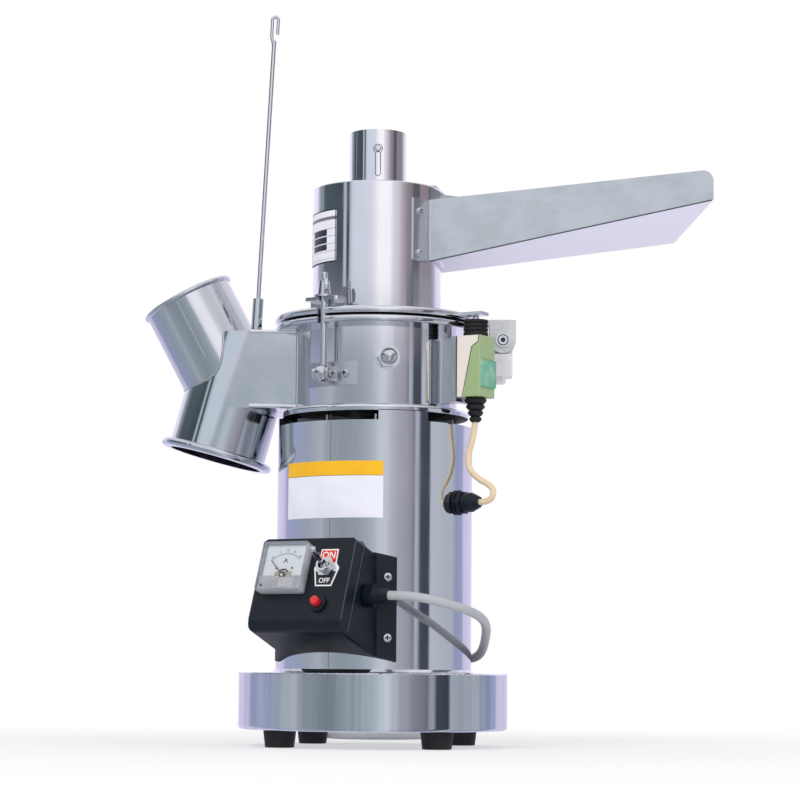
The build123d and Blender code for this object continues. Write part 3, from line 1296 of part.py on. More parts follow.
# --- screws -------------------------------------------------------------------------------
def pan_screws():
    """The screws through the control box's wings and the clamps' straps."""
    wing_screw = pan_screw(4.0, 2.6, WING_SCREW_R, WING_PLATE + HOUSING_WALL + FREE)
    wing_seat = HOUSING_R + FREE + WING_PLATE
    screws = [outward(turn, wing_seat, z, wing_screw) for turn, z in wing_screw_places()]
    strap_screw = pan_screw(4.0, 2.6, STRAP_SCREW_R, 4.5)
    strap_seat = CHAMBER_R + FIT + STRAP_THICK
    screws += [outward(turn, strap_seat, z, strap_screw) for turn, z in strap_screw_places()]
    return joined(screws)


# --- all nodes ----------------------------------------------------------------------------
def nodes():
    built = {
        "rubber_feet": rubber_feet(),
        "foot_screws": foot_screws(),
        "base": base(),
        "motor_housing": motor_housing(),
        "stator": stator(),
        "bearings": bearings(),
        "bearing_plate": bearing_plate(),
        "shaft_seal": shaft_seal(),
        "chamber": chamber(),
        "chamber_gasket": chamber_gasket(),
        "liner_ring": liner_ring(),
        "sieve_screen": sieve_screen(),
        "liner_stud": liner_stud(),
        "outlet_duct": outlet_duct(),
        "upper_spout": upper_spout(),
        "lower_spout": lower_spout(),
        "bolt_brackets": bolt_brackets(),
        "pivot_pins": pivot_pins(),
        "hinge_block": hinge_block(),
        "switch_bracket": switch_bracket(),
        "switch_body": switch_body(),
        "switch_cover": switch_cover(),
        "switch_boots": switch_boots(),
        "interlock_cable": interlock_cable(),
        "interlock_gland": interlock_gland(),
        "box_shell": box_shell(),
        "box_cover": box_cover(),
        "meter_movement": meter_movement(),
        "meter_lens": meter_lens(),
        "toggle_bushing": toggle_bushing(),
        "reset_collar": reset_collar(),
        "mains_gland": mains_gland(),
        "mains_cord": mains_cord(),
        "mains_coil": mains_coil(),
        "mains_plug": mains_plug(),
        "lid_plate": lid_plate(),
        "hood": hood(),
        "chute": chute(),
        "hood_screws": hood_screws(),
        "hinge_ear": hinge_ear(),
        "feed_sleeve": feed_sleeve(),
        "motor_rotor": motor_rotor(),
        "cooling_fan": cooling_fan(),
        "hammer_disc": hammer_disc(),
        "hammer_pins": hammer_pins(),
        "meter_needle": meter_needle(),
        "toggle_lever": toggle_lever(),
        "reset_button": reset_button(),
        "switch_plunger": switch_plunger(),
        "bag_rod": bag_rod(),
    }
    built["pan_screws"] = pan_screws()
    for side, place, turn in zip(("front", "rear"), CLAMP_AZIMUTHS, WING_TURNS):
        built["swing_bolt_" + side] = swing_bolt(place)
        built["washer_" + side] = washer(place)
        built["wing_nut_" + side] = wing_nut(place, turn)
    for n in range(HAMMERS):
        built[f"hammer_{n + 1}"] = hammer(n)
    return built


os.makedirs("parts", exist_ok=True)
for name, shape in nodes().items():
    export_step(shape, f"parts/{name}.step")
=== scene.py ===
# %% [markdown]
# # Dressing a laboratory hammer mill
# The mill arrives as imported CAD: every solid is in metres, in its final place. This notebook
# gives it finishes, adds what is too thin or too soft for the solids (the mains lead, labels,
# the meter's dial, weld beads), and sets up a plain studio around it.

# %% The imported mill
import json
import math

import bpy
from mathutils import Matrix, Vector


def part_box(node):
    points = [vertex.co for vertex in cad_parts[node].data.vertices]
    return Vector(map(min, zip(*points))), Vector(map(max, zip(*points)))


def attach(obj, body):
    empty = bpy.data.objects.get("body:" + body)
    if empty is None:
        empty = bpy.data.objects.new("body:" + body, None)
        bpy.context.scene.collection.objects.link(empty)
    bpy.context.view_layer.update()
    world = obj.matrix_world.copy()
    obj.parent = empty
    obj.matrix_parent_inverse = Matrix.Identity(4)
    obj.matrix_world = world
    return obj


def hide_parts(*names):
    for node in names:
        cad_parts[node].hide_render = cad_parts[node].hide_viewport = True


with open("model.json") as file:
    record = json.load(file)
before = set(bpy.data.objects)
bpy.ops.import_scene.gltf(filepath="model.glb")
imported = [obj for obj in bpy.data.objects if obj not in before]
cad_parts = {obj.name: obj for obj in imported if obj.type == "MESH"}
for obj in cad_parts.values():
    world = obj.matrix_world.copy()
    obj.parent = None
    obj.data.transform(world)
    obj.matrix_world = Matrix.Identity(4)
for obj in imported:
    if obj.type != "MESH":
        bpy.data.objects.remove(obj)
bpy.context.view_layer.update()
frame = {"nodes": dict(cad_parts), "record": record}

# %% [markdown]
# ## The camera
# A long lens stands low in front of the mill, about 2.3 m from its axis, and looks slightly
# up. A long lens keeps the tubes' sides parallel, as in a catalogue picture. The camera is
# rolled a little first, then tilted, then turned to the side, and the matrices stand in the
# opposite order. The Standard view transform shows a colour as it is written. Whatever is added
# comes from `added`, because loading leaves the CAD nodes selected.

# %% Camera
CAMERA_DISTANCE = 2.265
CAMERA_HEIGHT = 0.065
SIDE_TURN = -0.556
TILT = 96.2
ROLL = 0.475
SENSOR = 36
LENS = 113.2
SEES_TO = 120


def added(operator, **settings):
    """The object that an operator adds, with nothing else selected."""
    bpy.ops.object.select_all(action="DESELECT")
    operator(**settings)
    return bpy.context.object


camera = added(bpy.ops.object.camera_add, location=(0, -CAMERA_DISTANCE, CAMERA_HEIGHT))
camera_turn = (Matrix.Rotation(math.radians(SIDE_TURN), 3, "Z")
               @ Matrix.Rotation(math.radians(TILT), 3, "X")
               @ Matrix.Rotation(math.radians(ROLL), 3, "Z"))
camera.rotation_euler = camera_turn.to_euler()
camera.data.sensor_width = SENSOR
camera.data.lens = LENS
camera.data.clip_end = SEES_TO
bpy.context.scene.camera = camera
bpy.context.scene.view_settings.view_transform = "Standard"
print("camera at", tuple(round(value, 3) for value in camera.location))

# %% [markdown]
# ## The mains lead
# A mains lead is a fixed length of something bendy, so it is one NURBS curve with a round
# bevel. Its control points are the route that the CAD tube follows: out of the gland, down
# past the motor tube to the bench behind, then wound into a coil that lies flat. The coil's
# turns are more points of the same curve. It has two layers of turns, one cord apart: outer
# to inner on the bench, then up and back out on top.

# %% Route of the lead
CORD_DIAMETER = 0.008
CORD_EXIT = (0.01128, -0.11506, 0.131)
lead_route = [
    CORD_EXIT,
    (0.030, -0.1259, 0.131), (0.057, -0.131, 0.1255), (0.085, -0.1175, 0.1175),
    (0.098, -0.085, 0.109), (0.0985, -0.040, 0.093), (0.0955, 0.001, 0.081),
    (0.086, 0.039, 0.078), (0.067, 0.073, 0.077), (0.041, 0.101, 0.080),
    (0.012, 0.126, 0.076), (-0.014, 0.144, 0.054), (-0.032, 0.160, 0.028),
    (-0.046, 0.184, 0.009), (-0.053, 0.214, 0.0044), (-0.052, 0.245, 0.0044),
]
COIL_CENTRE = (0.0, 0.272)
TURN_RADII = (0.052, 0.044, 0.036)
LOW_LAYER = 0.0043
HIGH_LAYER = 0.0124
POINTS_PER_TURN = 20


def eased(value, start, end):
    """0 before start, 1 after end, and a smooth step between."""
    share = min(max((value - start) / (end - start), 0.0), 1.0)
    return share * share * (3 - 2 * share)


def coil_point(turns):
    """A point of the coil after so many turns, clockwise from its leftmost point."""
    outer, middle, inner = TURN_RADII
    radius = outer
    radius += (middle - outer) * eased(turns, 0.78, 0.98)
    radius += (inner - middle) * eased(turns, 1.78, 1.98)
    radius += (middle - inner) * eased(turns, 3.70, 3.92)
    height = LOW_LAYER + (HIGH_LAYER - LOW_LAYER) * eased(turns, 2.55, 2.85)
    spline_pull = math.cos(math.pi / POINTS_PER_TURN)
    angle = math.radians(180 - 360 * turns)
    return (COIL_CENTRE[0] + radius / spline_pull * math.cos(angle),
            COIL_CENTRE[1] + radius / spline_pull * math.sin(angle), height)


COIL_TURNS = 4.25
coil_route = [coil_point(step / POINTS_PER_TURN)
              for step in range(1, int(COIL_TURNS * POINTS_PER_TURN) - 1)]
tail_route = [(0.004, 0.316, 0.0124), (0.018, 0.316, 0.0122), (0.034, 0.316, 0.0112),
              (0.0495, 0.316, 0.011)]
cord_points = lead_route + coil_route + tail_route
print("lead has", len(cord_points), "control points")

# %% [markdown]
# The order and the end points are set after the points are there, because a spline with too
# few points quietly falls back to straight runs. The bevel is one metre, scaled by each
# point's radius, so that the object's box is the lead's own: it counts the radii in.

# %% The lead as a curve
def drawn(name, kind, spots, **settings):
    """A new curve object through points, and its one spline."""
    curve = bpy.data.curves.new(name, "CURVE")
    for setting, value in settings.items():
        setattr(curve, setting, value)
    line = curve.splines.new(kind)
    line.points.add(len(spots) - 1)
    for point, spot in zip(line.points, spots):
        point.co = (*spot, 1.0)
    piece = bpy.data.objects.new(name, curve)
    bpy.context.scene.collection.objects.link(piece)
    return piece, line


mains_lead, spline = drawn("mains_lead", "NURBS", cord_points, dimensions="3D", bevel_depth=1.0,
                           bevel_resolution=5, resolution_u=6, use_fill_caps=True)
for point in spline.points:
    point.radius = CORD_DIAMETER / 2
spline.order_u = 3
spline.use_endpoint_u = True
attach(mains_lead, "frame")
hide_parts("mains_cord", "mains_coil")
print("lead drawn")

# %% [markdown]
# ## Tools for modelling
# Operators act on whatever is selected, so each step starts by selecting one piece only.
# `settle` moves a piece's place into its mesh, which is how the CAD nodes are made too.

# %% Small helpers
def only(piece):
    """Selects one piece and makes it active."""
    bpy.ops.object.select_all(action="DESELECT")
    piece.select_set(True)
    bpy.context.view_layer.objects.active = piece


def settle(piece, matrix=None):
    """Puts a piece at a matrix, if given, and that place into its mesh."""
    if matrix is not None:
        piece.matrix_world = matrix
    only(piece)
    bpy.ops.object.transform_apply(location=True, rotation=True, scale=True)
    return piece


def apply_all(piece):
    """Applies a piece's modifiers in order."""
    only(piece)
    for modifier in list(piece.modifiers):
        bpy.ops.object.modifier_apply(modifier=modifier.name)
    return piece


def rounded(piece, width, segments=1):
    """Rounds off a piece's edges."""
    rounding = piece.modifiers.new("rounding", "BEVEL")
    rounding.width = width
    rounding.segments = segments
    return apply_all(piece)


def belongs(piece, name, body, material=None):
    """Names a finished piece, and says what it moves with and which finish it has."""
    piece.name = name
    piece.data.name = name
    if material is not None:
        piece.data.materials.clear()
        piece.data.materials.append(material)
    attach(piece, body)
    return piece


def mm(*values):
    """Millimetres as metres."""
    return tuple(value / 1000 for value in values)


# %% [markdown]
# ## Shader maths as expressions
# A material is a graph of nodes. Writing `1 - mask * 0.3` is easier to read than four lines
# of wiring, so one small class wraps a node's output and turns the operators into Math nodes.
# Every other node comes from one method, which sets the node's settings first and then its
# sockets, each to a number or to another node's output.

# %% Wires and boards
class Wire:
    """A node's output in an expression."""

    def __init__(self, board, made, output=0):
        self.board = board
        self.made = made
        self.output = output

    def __getitem__(self, output):
        return Wire(self.board, self.made, output)

    def maths(self, operation, first, second):
        return self.board.node("ShaderNodeMath", {"operation": operation}, {0: first, 1: second})

    def __add__(self, other):
        return self.maths("ADD", self, other)

    def __sub__(self, other):
        return self.maths("SUBTRACT", self, other)

    def __rsub__(self, other):
        return self.maths("SUBTRACT", other, self)

    def __mul__(self, other):
        return self.maths("MULTIPLY", self, other)

    def __truediv__(self, other):
        return self.maths("DIVIDE", self, other)

    def __gt__(self, other):
        return self.maths("GREATER_THAN", self, other)

    def __lt__(self, other):
        return self.maths("LESS_THAN", self, other)


class Board:
    """A node tree to wire on, cleared first."""

    def __init__(self, tree):
        self.tree = tree
        tree.nodes.clear()

    def node(self, kind, settings=None, sockets=None):
        made = self.tree.nodes.new(kind)
        for name, value in (settings or {}).items():
            if name == "stops":
                fill_ramp(made.color_ramp, value)
            else:
                setattr(made, name, value)
        for key, value in (sockets or {}).items():
            if isinstance(value, Wire):
                self.tree.links.new(value.made.outputs[value.output], made.inputs[key])
            else:
                made.inputs[key].default_value = value
        return Wire(self, made)


def fill_ramp(ramp, stops):
    """Gives a colour ramp its stops, each a place and a colour."""
    while len(ramp.elements) > 1:
        ramp.elements.remove(ramp.elements[-1])
    ramp.elements[0].position = stops[0][0]
    ramp.elements[0].color = stops[0][1]
    for place, colour in stops[1:]:
        ramp.elements.new(place).color = colour


def tone(red, green, blue):
    """A screen colour of 0 to 255 as the linear colour that shaders use."""
    linear = []
    for value in (red, green, blue):
        share = value / 255
        linear.append(share / 12.92 if share <= 0.04045 else ((share + 0.055) / 1.055) ** 2.4)
    return (*linear, 1.0)


# %% [markdown]
# Most finishes here need the same few textures: a place to read, noise that is stretched one
# way (grain), and noise that isn't (smudges). A colour blend is a Mix node, because a Math
# node would turn it grey.

# %% Texture helpers
def place_on(board, scale=(1, 1, 1)):
    """Object coordinates, scaled."""
    spot = board.node("ShaderNodeTexCoord")["Object"]
    return board.node("ShaderNodeMapping", {}, {"Vector": spot, "Scale": scale})


def distance(board, along_axes=(1, 1, 1)):
    """How far a point is from the origin, counted along the axes that are 1."""
    settings = {"operation": "LENGTH"}
    return board.node("ShaderNodeVectorMath", settings, {0: place_on(board, along_axes)})["Value"]


def coordinates(board):
    """A point's X, Y and Z."""
    return board.node("ShaderNodeSeparateXYZ", {}, {"Vector": place_on(board)})


def noise(board, scale, detail=2.0, stretch=(1, 1, 1), rough=0.5):
    sockets = {"Vector": place_on(board, stretch), "Scale": scale, "Detail": detail,
               "Roughness": rough}
    return board.node("ShaderNodeTexNoise", {}, sockets)


def step(board, value, low, high):
    """0 below low, 1 above high, smooth between."""
    settings = {"interpolation_type": "SMOOTHSTEP", "clamp": True}
    return board.node("ShaderNodeMapRange", settings,
                      {"Value": value, "From Min": low, "From Max": high})


def blend_colours(board, share, first, second):
    settings = {"data_type": "RGBA", "clamp_factor": True}
    return board.node("ShaderNodeMix", settings, {0: share, 6: first, 7: second})[2]


def bump(board, height, distance, strength=1.0, below=None):
    sockets = {"Height": height, "Distance": distance, "Strength": strength}
    if below is not None:
        sockets["Normal"] = below
    return board.node("ShaderNodeBump", {}, sockets)


def new_board(name):
    made = bpy.data.materials.new(name)
    made.use_nodes = True
    return made, Board(made.node_tree)


def surface(board, sockets):
    """The shader and the output that end a material."""
    shader = board.node("ShaderNodeBsdfPrincipled", {}, sockets)
    board.node("ShaderNodeOutputMaterial", {}, {"Surface": shader})


print("texture helpers ready")

# %% [markdown]
# ## The studio
# Polished steel has almost no colour of its own: what it shows is the room. A product studio
# has soft boxes in front, a white sweep behind and darker gaps at the sides, and those gaps
# are the dark streaks on a polished tube. The world carries that room for glossy rays, as
# bands round the compass. The camera and clear plastic see plain white, and everything that
# isn't glossy gets an even, neutral light.

# %% Compass bands of the room
ROOM_ABOVE = [
    (-180, (236, 230, 246)), (-134, (225, 218, 238)), (-128, (160, 165, 170)),
    (-108, (75, 88, 94)), (-64, (62, 72, 78)), (-61, (185, 193, 199)), (-58, (180, 188, 194)),
    (-56, (60, 70, 76)), (-52, (60, 68, 74)), (-50, (170, 180, 190)), (-44, (200, 209, 216)),
    (-18, (205, 211, 220)), (-10, (216, 211, 223)), (4, (248, 244, 252)), (22, (248, 244, 252)),
    (30, (214, 208, 220)), (38, (202, 196, 204)), (46, (172, 164, 170)), (54, (142, 136, 140)),
    (64, (124, 120, 124)), (68, (92, 92, 96)), (79, (86, 84, 90)), (84, (136, 126, 132)),
    (106, (134, 126, 130)), (113, (140, 138, 144)), (124, (170, 172, 184)), (130, (216, 210, 228)),
    (180, (236, 230, 246)),
]
ROOM_BELOW = [
    (-180, (206, 200, 222)), (-134, (198, 192, 218)), (-126, (152, 158, 186)),
    (-100, (150, 156, 180)), (-84, (152, 159, 170)), (-66, (167, 173, 180)),
    (-60, (150, 158, 166)), (-40, (138, 147, 154)), (-20, (146, 155, 162)), (-4, (164, 173, 179)),
    (5, (186, 194, 200)), (12, (190, 197, 203)), (20, (172, 176, 184)), (28, (160, 160, 170)),
    (38, (152, 150, 161)), (44, (140, 138, 148)), (47, (112, 112, 122)), (49, (172, 178, 186)),
    (53, (152, 158, 166)), (55, (66, 72, 82)),
    (67, (62, 66, 78)), (69, (178, 184, 192)), (88, (172, 178, 186)), (104, (168, 174, 184)),
    (112, (142, 150, 178)), (128, (152, 158, 188)), (132, (198, 192, 218)), (180, (206, 200, 222)),
]
STEEL_REFLECTS = 0.74


def band_stops(bands):
    """Ramp stops from compass degrees, with 0.5 straight in front of the mill."""
    stops = []
    for degrees, colour in bands:
        light = tuple(min(value / STEEL_REFLECTS, 1.25) for value in tone(*colour)[:3])
        stops.append((degrees / 360 + 0.5, (*light, 1.0)))
    return stops


print("room bands", len(ROOM_ABOVE), len(ROOM_BELOW))

# %% World
WHITE = (1.0, 1.0, 1.0, 1.0)
CEILING = (0.93, 0.93, 0.96, 1.0)
EVEN_LIGHT = (0.66, 0.66, 0.67, 1.0)
BELOW_TO_ABOVE = (0.120, 0.158)
SIDES_TO_CEILING = (0.30, 0.62)
world = bpy.data.worlds.new("studio")
bpy.context.scene.world = world
world.use_nodes = True
room = Board(world.node_tree)
heading = room.node("ShaderNodeTexCoord")["Generated"]
parts = room.node("ShaderNodeSeparateXYZ", {}, {"Vector": heading})
compass = parts.maths("ARCTAN2", parts["X"], 0 - parts["Y"]) / (2 * math.pi) + 0.5
above = room.node("ShaderNodeValToRGB", {"stops": band_stops(ROOM_ABOVE)}, {"Fac": compass})
below = room.node("ShaderNodeValToRGB", {"stops": band_stops(ROOM_BELOW)}, {"Fac": compass})
sides = blend_colours(room, step(room, parts["Z"], *BELOW_TO_ABOVE), below["Color"],
                      above["Color"])
glossy_room = blend_colours(room, step(room, parts["Z"], *SIDES_TO_CEILING), sides, CEILING)
paths = room.node("ShaderNodeLightPath")
lit = blend_colours(room, paths["Is Glossy Ray"], EVEN_LIGHT, glossy_room)
plain = paths.maths("MAXIMUM", paths["Is Camera Ray"], paths["Is Transmission Ray"])
seen = blend_colours(room, plain, lit, WHITE)
backdrop = room.node("ShaderNodeBackground", {}, {"Color": seen, "Strength": 1.0})
room.node("ShaderNodeOutputWorld", {}, {"Surface": backdrop})
print("world ready")

# %% [markdown]
# Two large soft boxes give the shapes a lit side and a soft shadow. The floor is a wide pale
# plane that keeps the shadow, and the camera sees more of it as plain white further out. Both
# the boxes and the floor are left out of reflections, where the room's bands stand for them.

# %% Soft boxes and floor
FLOOR_LIFT = 0.5
LIFT_FROM = 0.16
LIFT_TO = 0.9
FLOOR_PAPER = (0.93, 0.93, 0.94, 1.0)


def soft_box(name, spot, target, size, power):
    lamp = added(bpy.ops.object.light_add, type="AREA", location=spot)
    lamp.name = name
    lamp.data.shape = "SQUARE"
    lamp.data.size = size
    lamp.data.energy = power
    lamp.rotation_euler = (Vector(target) - Vector(spot)).to_track_quat("-Z", "Y").to_euler()
    lamp.visible_glossy = False


soft_box("key_box", (-1.3, -1.9, 1.9), (0, 0, 0.3), 1.3, 26)
soft_box("fill_box", (1.7, -1.3, 1.3), (0, 0, 0.3), 1.2, 10)

floor = added(bpy.ops.mesh.primitive_grid_add, x_subdivisions=8, y_subdivisions=8, size=60)
floor.name = "studio_floor"
floor.visible_glossy = False
floor_material, board = new_board("studio_floor")
paper = board.node("ShaderNodeBsdfPrincipled", {}, {
    "Base Color": FLOOR_PAPER, "Roughness": 0.9, "Specular IOR Level": 0.1})
glow = board.node("ShaderNodeEmission", {}, {"Color": WHITE, "Strength": 1.0})
lift = step(board, distance(board), LIFT_FROM, LIFT_TO) * (1 - FLOOR_LIFT) + FLOOR_LIFT
seen_directly = board.node("ShaderNodeLightPath")["Is Camera Ray"]
lifted = board.node("ShaderNodeMixShader", {}, {0: seen_directly * lift, 1: paper, 2: glow})
board.node("ShaderNodeOutputMaterial", {}, {"Surface": lifted})
floor.data.materials.append(floor_material)
print("studio ready")

# %% [markdown]
# ## Polished steel
# The tubes are mirror polished along their length, so the reflection is sharp across the
# tube and drawn out along it. Three things break the perfect mirror: a fine grain along the
# tube, a slow waviness of the sheet, and faint smudges that dull it here and there.

# %% Steel finishes
UNLIT = (38, 40, 44)


def steel(name, light, dark, roughness, grain=(700, 700, 14), depth=0.00001, wave=0.00003,
          smudge=0.05, dark_within=None, dark_below=None, streaks=False):
    """A bare steel: two close tints, a grain along the tube, a waviness and smudges. Nearer
    the axis than dark_within it is painted dark, as painted shade for the unlit inside of the
    tube, at any height or only under dark_below. With streaks, the tints follow wide upright
    streaks, which are painted reflections."""
    made, board = new_board(name)
    lines = noise(board, 1.0, 3.0, stretch=grain)
    if streaks:
        wide = noise(board, 1.0, 3.0, stretch=(34, 34, 0.3))
    patches = noise(board, 14.0, 3.0)
    slow = noise(board, 26.0, 1.0)
    share = lines["Fac"] * 0.5 + patches["Fac"] * 0.5
    # Painted reflection: the tint can follow wide upright streaks that stand for the room's bands.
    if streaks:
        share = step(board, wide["Fac"] * 0.75 + lines["Fac"] * 0.25, 0.34, 0.66)
    colour = blend_colours(board, share, tone(*dark), tone(*light))
    dull = step(board, patches["Fac"], 0.48, 0.72) * smudge + lines["Fac"] * 0.03 + roughness
    # Painted shade: inside the tube the colour is the dark UNLIT tone.
    if dark_within is not None:
        inside = distance(board, (1, 1, 0)) < dark_within
        if dark_below is not None:
            inside = inside * (distance(board, (0, 0, 1)) < dark_below)
        colour = blend_colours(board, inside, colour, tone(*UNLIT))
        dull = dull + inside * 0.4
    relief = bump(board, lines["Fac"], depth)
    relief = bump(board, slow["Fac"], wave, below=relief)
    surface(board, {"Base Color": colour, "Metallic": 1.0, "Roughness": dull, "Normal": relief})
    return made


finishes = {
    "polished_steel": steel("polished_steel", (229, 229, 233), (214, 215, 221), 0.05),
    "satin_steel": steel("satin_steel", (206, 209, 213), (190, 194, 200), 0.33,
                         grain=(14, 500, 500), depth=0.00002, smudge=0.06),
    "bright_steel": steel("bright_steel", (226, 226, 229), (198, 199, 204), 0.12,
                          grain=(300, 300, 60), depth=0.00002, wave=0.00001),
    "hammer_steel": steel("hammer_steel", (150, 150, 152), (116, 116, 118), 0.38,
                          grain=(160, 160, 160), depth=0.00004),
}
# Painted reflection: the base's much darker tint lies in wide upright streaks.
base_steel = steel("turned_steel", (226, 228, 233), (176, 181, 188), 0.03,
                   grain=(200, 200, 3), depth=0.000008, wave=0.00003, smudge=0.04, streaks=True)
# Painted highlight: a paler, rougher steel for the duct's top edge and foot lip, so they show as
# bright bands.
edge_highlight_steel = steel("edge_highlight_steel", (246, 246, 250), (226, 227, 233), 0.28, grain=(300, 300, 300))
strap_steel = steel("strap_steel", (222, 224, 228), (196, 199, 204), 0.26, grain=(300, 300, 20),
                    depth=0.00003)
# The motor tube and the chamber get painted shade on their insides.
tube_steel = steel("tube_steel", (229, 229, 233), (210, 212, 218), 0.05, dark_within=0.0868)
chamber_steel = steel("chamber_steel", (229, 229, 233), (214, 215, 221), 0.05, dark_within=0.0875,
                      dark_below=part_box("chamber")[0][2] + 0.0003)
pipe_steel = steel("pipe_steel", (214, 217, 222), (192, 197, 203), 0.07, grain=(60, 60, 60),
                   depth=0.00002, wave=0.0001, smudge=0.06)
print("steels", sorted(finishes))

# %% [markdown]
# The chute is plain rolled sheet, not polished. It shows no picture of the room, only a soft
# mottled grey. Its underside faces the pale floor, and its paler, bluer tint is painted light
# from that floor. The two flanges that lie on the hood are polished with it. So this finish is
# mostly diffuse, and two masks choose the tint: one from the direction that the face looks,
# for the painted light underneath, one from the distance to the axis.

# %% Rolled sheet of the chute
FLANGE_R = 0.0615
chute_steel, board = new_board("chute_steel")
mottle = noise(board, 34.0, 4.0, rough=0.6)
rolled = noise(board, 1.0, 2.0, stretch=(9, 160, 160))
tint = blend_colours(board, step(board, mottle["Fac"] * 0.7 + rolled["Fac"] * 0.3, 0.36, 0.62),
                     tone(176, 183, 190), tone(188, 194, 201))
facing = board.node("ShaderNodeTexCoord")["Normal"]
underside_painted_light = board.node("ShaderNodeSeparateXYZ", {}, {"Vector": facing})["Z"] < -0.5
# Painted light: faces that look down are tinted paler and bluer, as if lit by the floor.
tint = blend_colours(board, underside_painted_light, tint, tone(243, 244, 255))
flange = distance(board, (1, 1, 0)) < FLANGE_R
tint = blend_colours(board, flange, tint, tone(214, 214, 220))
surface(board, {"Base Color": tint, "Metallic": flange * 0.75 + 0.2,
                "Roughness": mottle["Fac"] * 0.12 + 0.34 - flange * 0.22,
                "Normal": bump(board, rolled["Fac"], 0.00004, 0.5)})
print("chute's sheet ready")

# %% [markdown]
# ## Castings, plastics and rubber
# Cast and die-cast metal is a matt grey with a fine sandy relief. Moulded plastic has a fine
# spark-eroded grain and is slightly duller where it has been handled.
# Rubber is darker and rougher still.

# %% Cast metals
def casting(name, light, dark, roughness, sand):
    made, board = new_board(name)
    fine = noise(board, sand, 4.0)
    broad = noise(board, 60.0, 3.0)
    colour = blend_colours(board, step(board, fine["Fac"] * 0.5 + broad["Fac"] * 0.5, 0.38, 0.62),
                           tone(*dark), tone(*light))
    surface(board, {"Base Color": colour, "Metallic": 0.85,
                    "Roughness": broad["Fac"] * 0.12 + roughness,
                    "Normal": bump(board, fine["Fac"], 0.00012, 0.6)})
    return made


CASTINGS = {
    "cast_aluminium": ((232, 232, 231), (204, 204, 205), 0.34, 900.0),
    "zinc_grey": ((196, 192, 188), (170, 167, 164), 0.42, 1300.0),
    "motor_iron": ((88, 86, 84), (62, 60, 58), 0.5, 700.0),
}
for name, looks in CASTINGS.items():
    finishes[name] = casting(name, *looks)
print("castings ready")


# %% Plastics and rubber
def moulded(name, colour, worn, roughness, grain=1800.0, relief=0.00006, extra=None):
    """A moulded plastic: its colour, a paler worn tint in patches, and a fine grain."""
    made, board = new_board(name)
    fine = noise(board, grain, 2.0)
    broad = noise(board, 42.0, 4.0, rough=0.6)
    handled = step(board, broad["Fac"], 0.52, 0.75)
    skin = blend_colours(board, handled * 0.55, tone(*colour), tone(*worn))
    sockets = {"Base Color": skin, "Roughness": roughness - handled * 0.07 + fine["Fac"] * 0.06,
               "Normal": bump(board, fine["Fac"], relief, 0.5)}
    sockets.update(extra or {})
    surface(board, sockets)
    return made


PLASTICS = {
    "black_plastic": ((15, 24, 33), (26, 36, 46), 0.36, 1800.0, 0.00006,
                      {"Specular IOR Level": 0.32}),
    "black_rubber": ((27, 27, 28), (42, 42, 43), 0.62, 900.0, 0.0001),
    "green_plastic": ((160, 182, 132), (172, 192, 148), 0.4),
    "red_plastic": ((212, 26, 34), (226, 52, 54), 0.25, 600.0, 0.00002,
                    {"Coat Weight": 0.5, "Coat Roughness": 0.08}),
    "cord_grey": ((182, 184, 189), (168, 170, 175), 0.48, 1100.0),
    "cable_cream": ((234, 212, 178), (222, 196, 158), 0.36, 500.0, 0.00003,
                    {"Subsurface Weight": 0.25, "Subsurface Radius": (0.004, 0.003, 0.002),
                     "Subsurface Scale": 0.6, "Coat Weight": 0.4}),
    "dial_white": ((252, 253, 255), (243, 245, 250), 0.5, 900.0, 0.00001),
    "needle_black": ((18, 18, 20), (30, 30, 32), 0.45, 900.0, 0.00001),
}
for name, looks in PLASTICS.items():
    finishes[name] = moulded(name, *looks)
print("plastics and rubber ready")

# %% [markdown]
# The meter's window is a thin clear shell. A full glass shader makes a thin shell look milky
# and slow to render, so it is mostly transparent, with a glossy skin whose share grows at
# grazing angles. The window's side walls are told from its front by the way the front looks,
# and are less clear.

# %% Clear plastic
clear_material, board = new_board("clear_plastic")
scuffs = noise(board, 300.0, 3.0, stretch=(1, 6, 1))
normal = board.node("ShaderNodeTexCoord")["Normal"]
LENS_LOOKS = (-0.470, -0.814, 0.342)
towards = board.node("ShaderNodeVectorMath", {"operation": "DOT_PRODUCT"},
                     {0: normal, 1: LENS_LOOKS})["Value"]
side_wall = 1 - step(board, towards.maths("ABSOLUTE", towards, 0.0), 0.3, 0.85)
skin = board.node("ShaderNodeBsdfPrincipled", {}, {
    "Base Color": tone(226, 229, 236), "Metallic": 1 - side_wall,
    "Roughness": scuffs["Fac"] * 0.06 + 0.04})
through = board.node("ShaderNodeBsdfTransparent", {}, {"Color": (0.97, 0.98, 0.985, 1.0)})
edge = board.node("ShaderNodeFresnel", {}, {"IOR": 1.45})
hidden = edge * 0.9 + side_wall * 0.34
clear = board.node("ShaderNodeMixShader", {}, {0: hidden, 1: through, 2: skin})
board.node("ShaderNodeOutputMaterial", {}, {"Surface": clear})
finishes["clear_plastic"] = clear_material
print("finishes", len(finishes))

# %% [markdown]
# ## Dressing the CAD nodes
# The imported record names a finish for every node, so one loop dresses them all. The base is
# turned on a lathe and has a finish of its own, whose wide upright streaks are painted
# reflections. The motor tube and the chamber have their insides painted dark, as painted shade.

